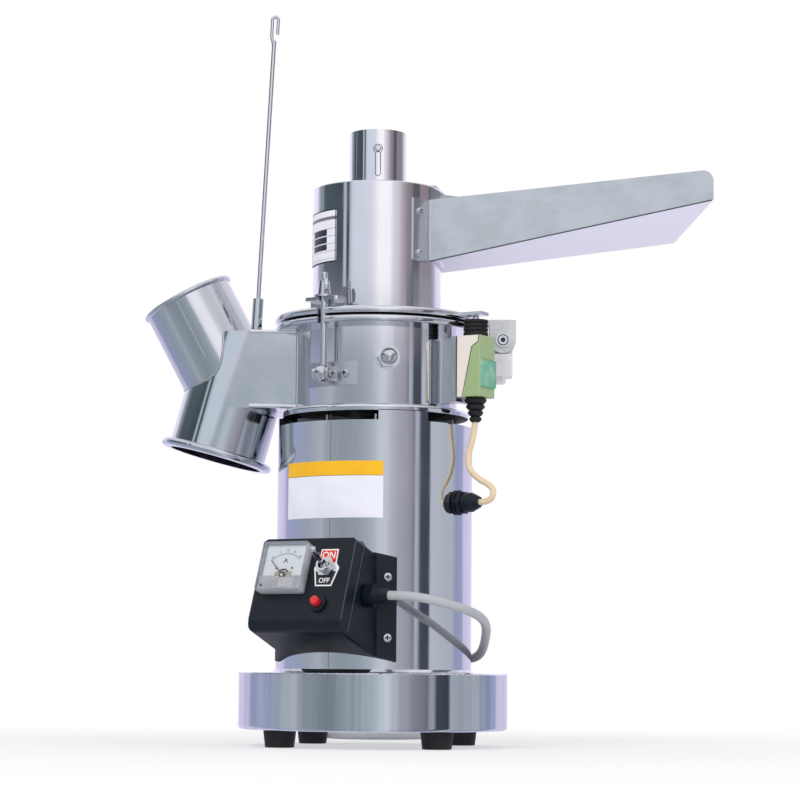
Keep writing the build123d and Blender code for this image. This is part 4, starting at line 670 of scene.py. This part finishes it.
# %% Finish for every node
OWN_FINISH = {
    "base": base_steel,
    "motor_housing": tube_steel,
    "chamber": chamber_steel,
    "outlet_duct": pipe_steel,
    "lower_spout": pipe_steel,
    "upper_spout": pipe_steel,
    "chute": chute_steel,
    "bolt_brackets": strap_steel,
    "bearing_plate": finishes["motor_iron"],
    "switch_body": moulded("switch_beige", (238, 230, 220), (226, 214, 202), 0.4),
    "switch_bracket": strap_steel,
    "hinge_block": moulded("hinge_enamel", (240, 240, 242), (222, 222, 226), 0.35),
}
for row in frame["record"]["subparts"]:
    name = row["node"]
    node = frame["nodes"][name]
    material = OWN_FINISH.get(name) or finishes[row["material_slot"]]
    for holder in node.material_slots:
        holder.material = material
mains_lead.data.materials.append(finishes["cord_grey"])

# %% [markdown]
# ## Printed finishes
# Labels, scales and switch signs are paint or ink on a flat sheet. Ink is never quite even, so
# each print has a slow patchiness and a fine grain, and a slightly different gloss where it is
# thicker.

# %% Inks, paints and tinted plastics
def printed(name, colour, faded, roughness=0.42, grain=2600.0):
    """A printed or enamelled skin: its colour, a faded tint in patches and a fine grain."""
    made, board = new_board(name)
    fine = noise(board, grain, 2.0)
    patches = noise(board, 120.0, 3.0, rough=0.6)
    ink = blend_colours(board, step(board, patches["Fac"], 0.4, 0.68), tone(*colour), tone(*faded))
    surface(board, {"Base Color": ink, "Roughness": patches["Fac"] * 0.12 + roughness,
                    "Normal": bump(board, fine["Fac"], 0.00002, 0.4)})
    return made


# One black serves as print, and as painted shade where a black piece stands for a dark hole or
# gap.
ink_and_shade_black = printed("ink_and_shade_black", (34, 36, 46), (46, 48, 58))
sign_white = printed("sign_white", (246, 246, 246), (236, 236, 236), 0.34)
sign_red = printed("sign_red", (222, 32, 30), (236, 58, 50), 0.34)
meter_beige = printed("meter_beige", (196, 188, 150), (176, 166, 134), 0.5, 1400.0)
clouded = printed("clouded_plastic", (188, 184, 186), (206, 202, 202), 0.3, 700.0)
clouded_print = printed("clouded_print", (222, 219, 219), (204, 200, 201), 0.45, 900.0)
teal_print = printed("teal_print", (112, 182, 158), (158, 198, 166), 0.45)
weld_steel = steel("weld_steel", (226, 226, 229), (186, 188, 193), 0.2, grain=(900, 900, 900),
                   depth=0.00008, wave=0.00002)
# A darker steel for fine dark lines: painted shade at the chute's fold, the keyhole's rim and the
# pin head's edge; it also draws the dark upright line on the motor tube.
dark_line_steel = steel("dark_line_steel", (116, 120, 128), (84, 88, 96), 0.3, grain=(400, 400, 400),
                   depth=0.00006)


def black_ink_and_shade(piece, name, body="frame"):
    """Names a black piece and says what it moves with; the black is print on the meter and signs,
    and painted shade in holes and gaps.
    """
    return belongs(piece, name, body, ink_and_shade_black)


print("inks and paints ready")

# %% [markdown]
# The paper of the motor label is white with one coloured band along its upper edge. Both
# colours are one material: the band is a mask on the height of the point. The label carries
# no wording here.

# %% Label papers
LABEL_LOW = 0.199
LABEL_HIGH = 0.2485
BAND_LOW = 0.2362
RULE = 0.0006
label_paper, board = new_board("label_paper")
height = coordinates(board)["Z"]
fibres = noise(board, 1500.0, 3.0)
wrinkles = noise(board, 55.0, 2.0)
paper = blend_colours(board, wrinkles["Fac"], tone(226, 228, 244), tone(246, 246, 252))
band = blend_colours(board, wrinkles["Fac"], tone(240, 176, 10), tone(255, 196, 24))
paper = blend_colours(board, height > BAND_LOW, paper, band)
rule = (height > BAND_LOW - RULE) * (height < BAND_LOW)
paper = blend_colours(board, rule, paper, tone(150, 120, 60))
relief = bump(board, fibres["Fac"], 0.00002, 0.5)
surface(board, {"Base Color": paper, "Roughness": wrinkles["Fac"] * 0.1 + 0.36,
                "Normal": bump(board, wrinkles["Fac"], 0.0004, 0.4, below=relief)})
print("label paper ready")

# %% [markdown]
# The hood's plate is a ruled form with empty fields: a dark frame, a heavier rule under the
# heading and thinner rules between the rows. The rules repeat with height, so a modulo of the
# height draws all of them.

# %% Ruled plate
PLATE_LOW = 0.430
PLATE_HIGH = 0.478
ROW_HEIGHT = 0.0068
ROWS_LOW = PLATE_LOW + 0.003
ROWS_HIGH = PLATE_HIGH - 0.013
FRAME_RULE = 0.0012
FIELD_ACROSS = (-0.0567, -0.0452)
FIELD_UP = (0.4415, 0.4605)
plate_paint, board = new_board("plate_paint")
spot = coordinates(board)
across, height = spot["X"], spot["Z"]
row = height.maths("MODULO", height - ROWS_LOW, ROW_HEIGHT)
in_rows = (height > ROWS_LOW) * (height < ROWS_HIGH)
rules = (row < RULE) * in_rows
field = (across > FIELD_ACROSS[0]) * (across < FIELD_ACROSS[1])
field = field * (height > FIELD_UP[0]) * (height < FIELD_UP[1]) * (1 - (row < 2 * RULE))
frame_rule = (height < PLATE_LOW + FRAME_RULE) + (height > PLATE_HIGH - FRAME_RULE)
heading = (height > PLATE_HIGH - 0.0095) * (height < PLATE_HIGH - 0.0065)
enamel = noise(board, 90.0, 3.0)
paint = blend_colours(board, enamel["Fac"], tone(226, 226, 236), tone(244, 244, 250))
marks = rules * 0.5 + frame_rule + heading * 0.8 + field
paint = blend_colours(board, marks, paint, tone(40, 38, 60))
surface(board, {"Base Color": paint, "Roughness": enamel["Fac"] * 0.1 + 0.3,
                "Normal": bump(board, enamel["Fac"], 0.0001, 0.4)})
print("papers ready")

# %% [markdown]
# ## Sheets wrapped round the tubes
# A label lies on a round tube, so it is a small upright rectangle, as thick as the sheet and
# as tall as the label, swept round the axis by Spin. A flat sheet pushed onto the tube would
# need a modifier and a fine mesh. Spin leaves the first and last face as the sheet's two ends,
# so the result is closed.

# %% Wrapping tool
def edited(piece, operator, **settings):
    """Runs one operator on the whole of a piece's mesh."""
    only(piece)
    bpy.ops.object.mode_set(mode="EDIT")
    bpy.ops.mesh.select_all(action="SELECT")
    operator(**settings)
    bpy.ops.object.mode_set(mode="OBJECT")
    return piece


def close_up(piece):
    """Merges doubles and turns all the faces outwards."""
    edited(piece, bpy.ops.mesh.remove_doubles, threshold=0.0000005)
    return edited(piece, bpy.ops.mesh.normals_make_consistent, inside=False)


def as_mesh(piece):
    """Turns a curve or a text into a closed mesh."""
    only(piece)
    bpy.ops.object.convert(target="MESH")
    return close_up(bpy.context.object)


def wrapped(radius, thickness, start, end, low, high, steps=30):
    """A sheet round the axis between two azimuths, counted from the front, and two heights."""
    middle = (0, -radius - thickness / 2, (low + high) / 2)
    sheet = added(bpy.ops.mesh.primitive_plane_add, size=1, location=middle,
                  rotation=(0, math.pi / 2, 0))
    sheet.scale = (high - low, thickness, 1)
    settle(sheet)
    settle(sheet, Matrix.Rotation(math.radians(start), 4, "Z"))
    edited(sheet, bpy.ops.mesh.spin, steps=steps, angle=math.radians(start - end),
           center=(0, 0, 0), axis=(0, 0, 1))
    close_up(sheet)
    bpy.ops.object.shade_smooth_by_angle(angle=math.radians(30))
    return sheet


# %% Label and plate
MOTOR_TUBE_R = 0.0875
HOOD_R = 0.0585
CLEAR_OF_TUBE = 0.00005
LABEL_AZIMUTHS = (-60.7, 4.7)
PLATE_AZIMUTHS = (-82.0, -39.0)
PLATE_THICK = 0.0006
EDGE_DEGREES = 0.7
motor_label = wrapped(MOTOR_TUBE_R + CLEAR_OF_TUBE, 0.0002, *LABEL_AZIMUTHS, LABEL_LOW, LABEL_HIGH)
belongs(motor_label, "motor_label", "frame", label_paper)
hood_plate = wrapped(HOOD_R + CLEAR_OF_TUBE, PLATE_THICK, *PLATE_AZIMUTHS, PLATE_LOW,
                     PLATE_HIGH, 20)
belongs(hood_plate, "hood_plate", "lid", plate_paint)
for n, azimuth in enumerate((PLATE_AZIMUTHS[0], PLATE_AZIMUTHS[1] - EDGE_DEGREES)):
    edge = wrapped(HOOD_R + CLEAR_OF_TUBE + PLATE_THICK, 0.00005, azimuth, azimuth + EDGE_DEGREES,
                   PLATE_LOW, PLATE_HIGH, 2)
    black_ink_and_shade(edge, f"hood_plate_edge_{n + 1}", "lid")
print("label", len(motor_label.data.polygons), "faces, plate", len(hood_plate.data.polygons))

# %% [markdown]
# ## Weld beads and other fine lines
# The chamber, the duct and the pipes are sheet metal welded along their edges, and each weld
# stands a little proud. A bead could be a row of small scales. Here it is a round line along
# the seam, made a mesh and pushed in and out by a fine noise, which is cheaper and looks the
# same after polishing. With hardly any noise the same tool draws gaps in black, a fold and a rim
# in darker steel, all as painted shade, and lips in a paler plastic as painted highlight.

# %% Tool for fine lines
SMOOTH = 0.00005
ripple = bpy.data.textures.new("weld_ripple", "CLOUDS")
ripple.noise_scale = 0.0016


def fine_line(name, spots, width, body, looped=False, depth=0.0004, material=None):
    """A round line along points, as rippled as its depth: a weld bead unless told otherwise."""
    bead, line = drawn(name, "POLY", spots, dimensions="3D", bevel_depth=width / 2,
                       bevel_resolution=2, use_fill_caps=not looped)
    line.use_cyclic_u = looped
    bead = as_mesh(bead)
    push = bead.modifiers.new("ripple", "DISPLACE")
    push.texture = ripple
    push.strength = depth
    push.mid_level = 0.5
    apply_all(bead)
    bpy.ops.object.shade_smooth()
    return belongs(bead, name, body, material or weld_steel)


def along(start, end, pitch=0.001):
    """Points from start to end, about a pitch apart."""
    first, last = Vector(start), Vector(end)
    count = max(int((last - first).length / pitch), 2)
    return [first.lerp(last, n / count) for n in range(count + 1)]


def round_axis(radius, height, pitch=0.001):
    """Points of a level ring on the axis."""
    count = int(2 * math.pi * radius / pitch)
    turns = [2 * math.pi * n / count for n in range(count)]
    return [(radius * math.cos(turn), radius * math.sin(turn), height) for turn in turns]


print("line tool ready")

# %% Beads on the mill
DUCT_CORNER = (-0.0707, -0.0178)
DUCT_NEAR_Y = -0.0171
DUCT_FAR_X = -0.114
DUCT_LOW = 0.301
DUCT_TOP = 0.371
HOOD_FOOT = 0.3847
HOOD_WELD_R = 0.0606
fine_line("hood_weld", round_axis(HOOD_WELD_R, HOOD_FOOT + 0.0004), 0.0016, "lid", looped=True)
duct_side = along((*DUCT_CORNER, DUCT_LOW + 0.001), (*DUCT_CORNER, DUCT_TOP - 0.001))
fine_line("duct_side_weld", duct_side, 0.0028, "frame")
# Painted highlight: the duct's top edge and foot lip are beads in the paler steel.
duct_top = along((-0.072, DUCT_NEAR_Y + 0.0004, DUCT_TOP - 0.0008),
                 (DUCT_FAR_X, DUCT_NEAR_Y + 0.0004, DUCT_TOP - 0.0008))
fine_line("duct_top_edge_highlight", duct_top, 0.0036, "frame", depth=0.0003, material=edge_highlight_steel)
duct_foot = along((-0.071, DUCT_NEAR_Y - 0.0003, DUCT_LOW + 0.0018),
                  (DUCT_FAR_X, DUCT_NEAR_Y - 0.0006, DUCT_LOW + 0.0018))
fine_line("duct_foot_lip_highlight", duct_foot, 0.0042, "frame", depth=0.0003, material=edge_highlight_steel)
print("straight beads done")

# %% [markdown]
# The upper pipe meets the lower one along a curve that no primitive has. It is worked out: on
# the upper pipe's skin, each line along the pipe is followed until it leaves the lower pipe.
# Both pipes lean in the plane of the duct, so a point along a pipe is its joint plus a length
# along its axis and an offset round it.

# %% Seam of the two pipes
PIPE_JOINT = Vector((-0.129, 0.027, 0.321))
LOWER_R = 0.044
UPPER_R = 0.041
LOWER_LEAN = math.radians(15)
UPPER_LEAN = math.radians(27.9)
FOLLOW = 0.0005
lower_axis = Vector((-math.sin(LOWER_LEAN), 0, -math.cos(LOWER_LEAN)))
upper_axis = Vector((-math.sin(UPPER_LEAN), 0, math.cos(UPPER_LEAN)))
upper_side = Vector((upper_axis.z, 0, -upper_axis.x))


def upper_skin(turn, length, stand=0.0):
    """A point on the upper pipe's skin, turned from the side that faces the mill."""
    outward = upper_side * math.cos(turn) + Vector((0, -1, 0)) * math.sin(turn)
    return PIPE_JOINT + upper_axis * length + outward * (UPPER_R + stand)


def leaves_lower(turn):
    """The length along the upper pipe at which its skin comes out of the lower pipe."""
    for step_number in range(400):
        length = FOLLOW * step_number
        arm = upper_skin(turn, length) - PIPE_JOINT
        if (arm - lower_axis * arm.dot(lower_axis)).length > LOWER_R:
            return length
    return 0.0


WELD_TOP = 0.3705
seam_points = []
for degrees in range(28, 176, 2):
    turn = math.radians(degrees)
    spot = upper_skin(turn, leaves_lower(turn), 0.0002)
    if spot.z < WELD_TOP:
        seam_points.append(spot)
print("seam of", len(seam_points), "points")

# %% Beads on the pipes
fine_points = []
for here, after in zip(seam_points, seam_points[1:]):
    fine_points += along(here, after, 0.0009)[:-1]
fine_line("pipe_joint_weld", fine_points, 0.0021, "frame")
SEAM_WIDTH = 0.0008
SEAM_TURN = math.radians(104)
pipe_seam = along(upper_skin(SEAM_TURN, 0.034), upper_skin(SEAM_TURN, 0.093))
fine_line("upper_pipe_seam", pipe_seam, SEAM_WIDTH, "frame", depth=0.0002)
# A dark upright line on the motor tube, below and above the label, in the darker steel.
TUBE_LINE_AZIMUTH = math.radians(-26.4)
TUBE_LINE_R = MOTOR_TUBE_R - 0.0003
TUBE_LINE_AT = (TUBE_LINE_R * math.sin(TUBE_LINE_AZIMUTH), -TUBE_LINE_R * math.cos(TUBE_LINE_AZIMUTH))
TUBE_LINE_BESIDE_LABEL = {"below": (0.066, 0.1985), "above": (0.249, 0.290)}
for part_name, (low, high) in TUBE_LINE_BESIDE_LABEL.items():
    tube_line = along((*TUBE_LINE_AT, low), (*TUBE_LINE_AT, high))
    fine_line(f"motor_tube_dark_line_{part_name}", tube_line, SEAM_WIDTH, "frame", depth=0.0002,
              material=dark_line_steel)
print("pipe beads done")

# %% [markdown]
# ## The panel meter
# The box's front is tilted and turned, so everything on it is modelled flat on the ground,
# with the panel's own left-right, up-down and depth as X, Y and Z, and moved onto the panel
# at the end by one matrix. The dial's print stands a hair above the dial, so that it never
# flickers with the surface below.

# %% Panel place
PANEL_TURN = -30
PANEL_LEAN = 70
PANEL_MIDDLE = (0, -0.123, 0.1443)
panel = (Matrix.Rotation(math.radians(PANEL_TURN), 4, "Z") @ Matrix.Translation(PANEL_MIDDLE)
         @ Matrix.Rotation(math.radians(PANEL_LEAN), 4, "X"))


def on_panel(u, v, w=0.0):
    """The place of a panel piece that was modelled about the origin, in millimetres."""
    return panel @ Matrix.Translation(mm(u, v, w))


def flat_plate(corners, thickness):
    """A flat plate with an outline in millimetres, from the ground plane up."""
    plate, line = drawn("outline", "POLY", [mm(x, y, 0) for x, y in corners], dimensions="2D",
                        fill_mode="BOTH", extrude=thickness / 2)
    line.use_cyclic_u = True
    return settle(as_mesh(plate), Matrix.Translation((0, 0, thickness / 2)))


def lettering(words, size, thickness=0.00006):
    """Words as a thin solid, centred on the origin."""
    text = added(bpy.ops.object.text_add)
    text.data.body = words
    text.data.size = size / 1000
    text.data.align_x = "CENTER"
    text.data.align_y = "CENTER"
    text.data.extrude = thickness / 2
    text.data.offset = size / 1000 * 0.015
    return settle(as_mesh(text), Matrix.Translation((0, 0, thickness / 2)))


# %% Scale of the dial
METER = (-17.7, 9.2)
NEEDLE_DROP = 7.2
PRINT_W = 4.02
PRINT_THICK = 0.00005
SCALE_R = 0.0200
SCALE_SWEEP = 42
TICK_LENGTH = 0.0018
TICK_WIDTH = 0.0003
pivot = on_panel(METER[0], METER[1] - NEEDLE_DROP, PRINT_W)

scale_arc = wrapped(SCALE_R, 0.00035, 180 - SCALE_SWEEP, 180 + SCALE_SWEEP, 0, PRINT_THICK, 36)
black_ink_and_shade(settle(scale_arc, pivot), "meter_scale_arc")

scale_ticks = added(bpy.ops.mesh.primitive_cube_add, size=1,
                    location=(0, SCALE_R + TICK_LENGTH / 2, PRINT_THICK / 2),
                    scale=(TICK_WIDTH, TICK_LENGTH, PRINT_THICK))
settle(scale_ticks)
settle(scale_ticks, Matrix.Rotation(math.radians(SCALE_SWEEP), 4, "Z"))
edited(scale_ticks, bpy.ops.mesh.spin, steps=12, dupli=True,
       angle=math.radians(2 * SCALE_SWEEP), center=(0, 0, 0), axis=(0, 0, 1))
close_up(scale_ticks)
black_ink_and_shade(settle(scale_ticks, pivot), "meter_scale_ticks")
print("ticks", len(scale_ticks.data.polygons) // 6)

# %% Dial figures and fittings
FIGURE_R = 24.2
DRAWN_IN = 0.86
LOWERED = 0.97
for n, figure in enumerate(("0", "5", "10", "15", "20")):
    swing = math.radians(SCALE_SWEEP - n * SCALE_SWEEP / 2)
    number = lettering(figure, 2.4)
    figure_u = METER[0] - math.sin(swing) * FIGURE_R * DRAWN_IN
    figure_v = METER[1] - NEEDLE_DROP + math.cos(swing) * FIGURE_R * LOWERED
    black_ink_and_shade(settle(number, on_panel(figure_u, figure_v, PRINT_W)), f"meter_figure_{n + 1}")
unit = lettering("A", 6.0)
black_ink_and_shade(settle(unit, on_panel(METER[0], METER[1] + 6.6, PRINT_W)), "meter_unit")


def dial_disc(name, u, v, radius, thick):
    """A short black disc with a rounded edge on the dial."""
    disc = added(bpy.ops.mesh.primitive_cylinder_add, vertices=24, radius=radius / 1000,
                 depth=thick / 1000, location=(0, 0, thick / 2000))
    settle(disc)
    rounded(disc, min(radius, thick) / 1000 * 0.3, 2)
    return black_ink_and_shade(settle(disc, on_panel(METER[0] + u, METER[1] + v, PRINT_W)), name)


dial_disc("meter_screw_left", -8.0, -0.2, 1.0, 0.5)
dial_disc("meter_screw_right", 8.0, -0.2, 1.0, 0.5)
bridge = flat_plate([(-8.5, -7.4), (8.5, -7.4), (8.5, -3.6), (5.2, -3.2), (-5.2, -3.2),
                     (-8.5, -3.6)], 0.0006)
settle(bridge, on_panel(*METER, PRINT_W))
belongs(bridge, "meter_bridge", "frame", meter_beige)
arch = wrapped(0.0045, 0.0012, 180 - 62, 180 + 62, 0, 0.0008, 16)
black_ink_and_shade(settle(arch, on_panel(METER[0], METER[1] - 6.6, PRINT_W)), "meter_arch")
print("dial done")

# %% [markdown]
# The meter's lower third is a clouded cover that hides the coil. Its long edge is stepped, and
# a paler strip and the zero screw sit on it.

# %% Clouded cover
cover_plate = flat_plate([(-20.6, -20.6), (20.6, -20.6), (20.6, -8.6), (7.5, -8.6), (6.2, -9.8),
                          (-6.2, -9.8), (-7.5, -8.6), (-20.6, -8.6)], 0.0036)
rounded(cover_plate, 0.0005, 3)
settle(cover_plate, on_panel(*METER, PRINT_W + 0.6))
belongs(cover_plate, "meter_cover", "frame", clouded)
pale_strip = flat_plate([(-1.0, -18.6), (13.5, -18.6), (13.5, -10.8), (-1.0, -10.8)], 0.0001)
settle(pale_strip, on_panel(METER[0], METER[1], PRINT_W + 4.2))
belongs(pale_strip, "meter_cover_strip", "frame", clouded_print)
zero_screw = dial_disc("meter_zero_screw", -17.6, -17.4, 1.3, 0.7)
settle(zero_screw, Matrix.Translation(panel.to_3x3() @ Vector(mm(0, 0, 4.1))))
print("meter pieces done")

# %% [markdown]
# ## The switch's sign
# An enamelled plate sits under the toggle: red above for on, black below for off, with a white
# rim. The plate's outline is drawn once. The two colour fields are copies of it, made smaller
# and cut by Bisect, so their edges stay parallel to the rim.

# %% Sign plate
SIGN = (22.4, 10.4)
SIGN_OUTLINE = [(-8.5, 17), (8.5, 17), (9, 4), (12.5, 0), (8, -17), (-8, -17), (-12.5, 0), (-9, 4)]
SIGN_THICK = 0.0004
sign_plate = flat_plate(SIGN_OUTLINE, SIGN_THICK)
settle(sign_plate, on_panel(*SIGN, 0.02))
belongs(sign_plate, "sign_plate", "frame", sign_white)


def sign_field(name, material, cut_at, keep):
    """A colour field: the outline made smaller and cut, kept on the side that keep points to."""
    field = flat_plate([(x * 0.88, y * 0.93) for x, y in SIGN_OUTLINE], 0.00008)
    edited(field, bpy.ops.mesh.bisect, plane_co=(0, cut_at / 1000, 0), plane_no=keep,
           use_fill=True, clear_inner=True)
    close_up(field)
    settle(field, on_panel(*SIGN, 0.42))
    return belongs(field, name, "frame", material)


sign_field("sign_on_field", sign_red, 2.6, (-0.28, 0.96, 0))
sign_field("sign_off_field", ink_and_shade_black, -3.4, (0, -1, 0))
for words, v, size in (("ON", 11.2, 8.4), ("OFF", -12.0, 6.2)):
    word = lettering(words, size)
    settle(word, on_panel(SIGN[0], SIGN[1] + v, 0.51))
    belongs(word, "sign_word_" + words.lower(), "frame", sign_white)
print("sign done")

# %% [markdown]
# ## The patch on the safety switch
# The switch's cover carries a coloured patch without any wording. It is a thin plate with
# rounded corners, seated on the cover's flat outer face.

# %% Switch patch
SWITCH_AZIMUTH = 59
SWITCH_OUT = 0.115
PATCH_Z = 0.3285
PATCH_SIZE = (0.0262, 0.0002, 0.0245)
switch_patch = added(bpy.ops.mesh.primitive_cube_add, size=1,
                     location=(0, -SWITCH_OUT - 0.00012, PATCH_Z), scale=PATCH_SIZE)
settle(switch_patch)
bpy.ops.object.mode_set(mode="EDIT")
bpy.context.tool_settings.mesh_select_mode = (False, True, False)
bpy.ops.object.mode_set(mode="OBJECT")
for edge in switch_patch.data.edges:
    first, last = (switch_patch.data.vertices[n].co for n in edge.vertices)
    edge.select = abs(first.y - last.y) > 0.0001
bpy.ops.object.mode_set(mode="EDIT")
bpy.ops.mesh.bevel(offset=0.0015, segments=4)
bpy.context.tool_settings.mesh_select_mode = (True, False, False)
bpy.ops.object.mode_set(mode="OBJECT")
close_up(switch_patch)
settle(switch_patch, Matrix.Rotation(math.radians(SWITCH_AZIMUTH), 4, "Z"))
belongs(switch_patch, "switch_patch", "frame", teal_print)
print("patch", len(switch_patch.data.polygons), "faces")

# %% [markdown]
# The switch's green cover meets its pale body along a stepped, slanted line. A fine dark gap
# shows there, and another where the body sits on its bracket. Both are drawn as thin black lines
# on the side faces, as painted shade in the gaps, turned to the switch's azimuth with everything
# else of it.

# %% Gaps of the switch
SWITCH_SIDE = 0.01402
COVER_LINE = [(113.4, 361.9), (113.4, 356.5), (106.5, 352.0), (97.2, 308.1)]
BRACKET_LINE = [(91.0, 361.9), (91.0, 308.1)]
# Painted shade: black lines in the gaps of the switch.
turn_to_switch = Matrix.Rotation(math.radians(SWITCH_AZIMUTH), 4, "Z")
for side, side_name in ((-1, "left"), (1, "right")):
    for line_name, line in (("cover", COVER_LINE), ("bracket", BRACKET_LINE)):
        corners = [turn_to_switch @ Vector((side * SWITCH_SIDE, -rho / 1000, z / 1000))
                   for rho, z in line]
        spots = []
        for here, after in zip(corners, corners[1:]):
            spots += along(here, after)
        fine_line(f"switch_{line_name}_gap_{side_name}", spots, 0.0007, "frame", depth=SMOOTH,
                  material=ink_and_shade_black)
print("gaps done")

# %% [markdown]
# ## Edges and recesses
# A moulded box has a raised lip along its cover, which catches the light as a thin line; the lip
# is drawn in a paler, glossier plastic than the box, as a painted highlight. The cross recess of
# a screw is deep and dark, and a black cross in it is painted shade. Both are small pieces of
# their own, because a thin edge or a dark hole in a white studio would otherwise disappear.

# %% Lips of the control box
BOX_HALF = 46.0
SLANT = 2.0 / 60
# Painted highlight: the lips are a paler, glossier plastic than the box.
lip_highlight_plastic = moulded("lip_highlight_plastic", (58, 68, 78), (78, 88, 98), 0.28,
                      extra={"Specular IOR Level": 0.6})
for lip_name, depth, top, foot in (("front", 0.2, 36.0, -36.5), ("seam", 14.0, 34.5, -42.0)):
    for side, side_name in ((-1, "left"), (1, "right")):
        u = side * (BOX_HALF + SLANT * depth - 0.1)
        lip_line = along(panel @ Vector(mm(u, foot, -depth)), panel @ Vector(mm(u, top, -depth)))
        fine_line(f"box_{lip_name}_lip_{side_name}", lip_line, 0.0011, "frame", depth=SMOOTH,
                  material=lip_highlight_plastic)
print("lips done")


# %% Screw recesses
def recess(name, rho, azimuth, z):
    """A black cross in a screw's head, facing away from the axis, as painted shade in the recess.
    """
    arm, half = 2.1, 0.55
    cross = flat_plate([(-half, -arm), (half, -arm), (half, -half), (arm, -half), (arm, half),
                        (half, half), (half, arm), (-half, arm), (-half, half), (-arm, half),
                        (-arm, -half), (-half, -half)], 0.0002)
    place = (Matrix.Rotation(math.radians(azimuth), 4, "Z") @ Matrix.Translation(mm(0, -rho, z))
             @ Matrix.Rotation(math.radians(90), 4, "X"))
    black_ink_and_shade(settle(cross, place), name)


WING_HEADS = 93.1
WING_SPREAD = 37.3
STRAP_HEADS = 77.35
STRAP_SPREAD = 11.6
STRAP_Z = 327.0
wing_screws = [(PANEL_TURN + side * WING_SPREAD, z) for side in (-1, 1) for z in (95.2, 147.4)]
strap_screws = [(middle + side * STRAP_SPREAD, STRAP_Z) for middle in (-33, 147)
                for side in (-1, 1)]
# Painted shade: a black cross in every screw's recess.
for n, (azimuth, z) in enumerate(wing_screws):
    recess(f"wing_screw_recess_{n + 1}", WING_HEADS, azimuth, z)
for n, (azimuth, z) in enumerate(strap_screws):
    recess(f"strap_screw_recess_{n + 1}", STRAP_HEADS, azimuth, z)
print("recesses done")

# %% [markdown]
# The hinge's pin ends in a low round head. Its edge is a thin ring in a darker steel, as painted
# shade at the head's edge, and its hexagon socket is a black six-sided plate, as painted shade in
# the socket.

# %% Hinge pin head
PIN_END = mm(114.4, -14.92, 365.0)
pin_place = Matrix.Translation(PIN_END) @ Matrix.Rotation(math.radians(90), 4, "X")
# Painted shade: a darker steel ring at the pin head's edge.
pin_ring = added(bpy.ops.mesh.primitive_torus_add, major_radius=0.0046, minor_radius=0.00045,
                 major_segments=40, minor_segments=8)
pin_ring.scale = (1, 1, 0.6)
settle(pin_ring)
settle(pin_ring, pin_place)
bpy.ops.object.shade_smooth()
belongs(pin_ring, "hinge_pin_ring", "frame", dark_line_steel)
# Painted shade: a black plate for the hexagon socket.
pin_socket = added(bpy.ops.mesh.primitive_cylinder_add, vertices=6, radius=0.0024, depth=0.0003)
rounded(pin_socket, 0.0001)
black_ink_and_shade(settle(pin_socket, pin_place), "hinge_pin_socket")
print("pin head done")

# %% [markdown]
# The chute's floor and near wall meet along a fold, which shows as a thin darker line. The line is
# a bead in a darker steel, as painted shade in the fold.

# %% Fold of the chute
FOLD_FROM = mm(46.6, -38.2, 432.0)
FOLD_TO = mm(291.2, -108.3, 477.05)
# Painted shade: the fold is a bead in the darker steel.
fine_line("chute_fold", along(FOLD_FROM, FOLD_TO, 0.002), 0.0012, "lid", depth=SMOOTH,
          material=dark_line_steel)
print("fold done")

# %% [markdown]
# The keyhole in the feed sleeve has a rim, which lies in the sleeve's round skin and moves with
# it. The rim is a darker steel, as painted shade along the slot's edge. It stays under the head
# of the guide screw, so the two never meet as the sleeve slides.

# %% Rim of the keyhole
SLEEVE_R = 0.02575
KEYHOLE_Z = 0.537
KEYHOLE_R = 0.0040
SLOT_R = 0.0023
SLOT_LENGTH = 0.0225


def on_sleeve(across, height):
    """A point of the sleeve's front, from a distance round it and a height."""
    turn = across / SLEEVE_R
    return (SLEEVE_R * math.sin(turn), -SLEEVE_R * math.cos(turn), height)


def sleeve_arc(radius, height, angles):
    """Points of an arc drawn on the sleeve's front, about a height."""
    turns = [math.radians(degrees) for degrees in angles]
    return [on_sleeve(radius * math.cos(turn), height + radius * math.sin(turn)) for turn in turns]


slot_foot = KEYHOLE_Z - SLOT_LENGTH
round_part = sleeve_arc(KEYHOLE_R, KEYHOLE_Z, range(-55, 236, 6))
left_side = along(round_part[-1], on_sleeve(-SLOT_R, slot_foot))
foot_arc = sleeve_arc(SLOT_R, slot_foot, range(190, 351, 10))
right_side = along(on_sleeve(SLOT_R, slot_foot), round_part[0])
# Painted shade: the rim is a bead in the darker steel.
fine_line("keyhole_rim", round_part + left_side[1:] + foot_arc + right_side[:-1], 0.0009,
          "feed_sleeve_body", looped=True, depth=SMOOTH, material=dark_line_steel)
print("rim done")
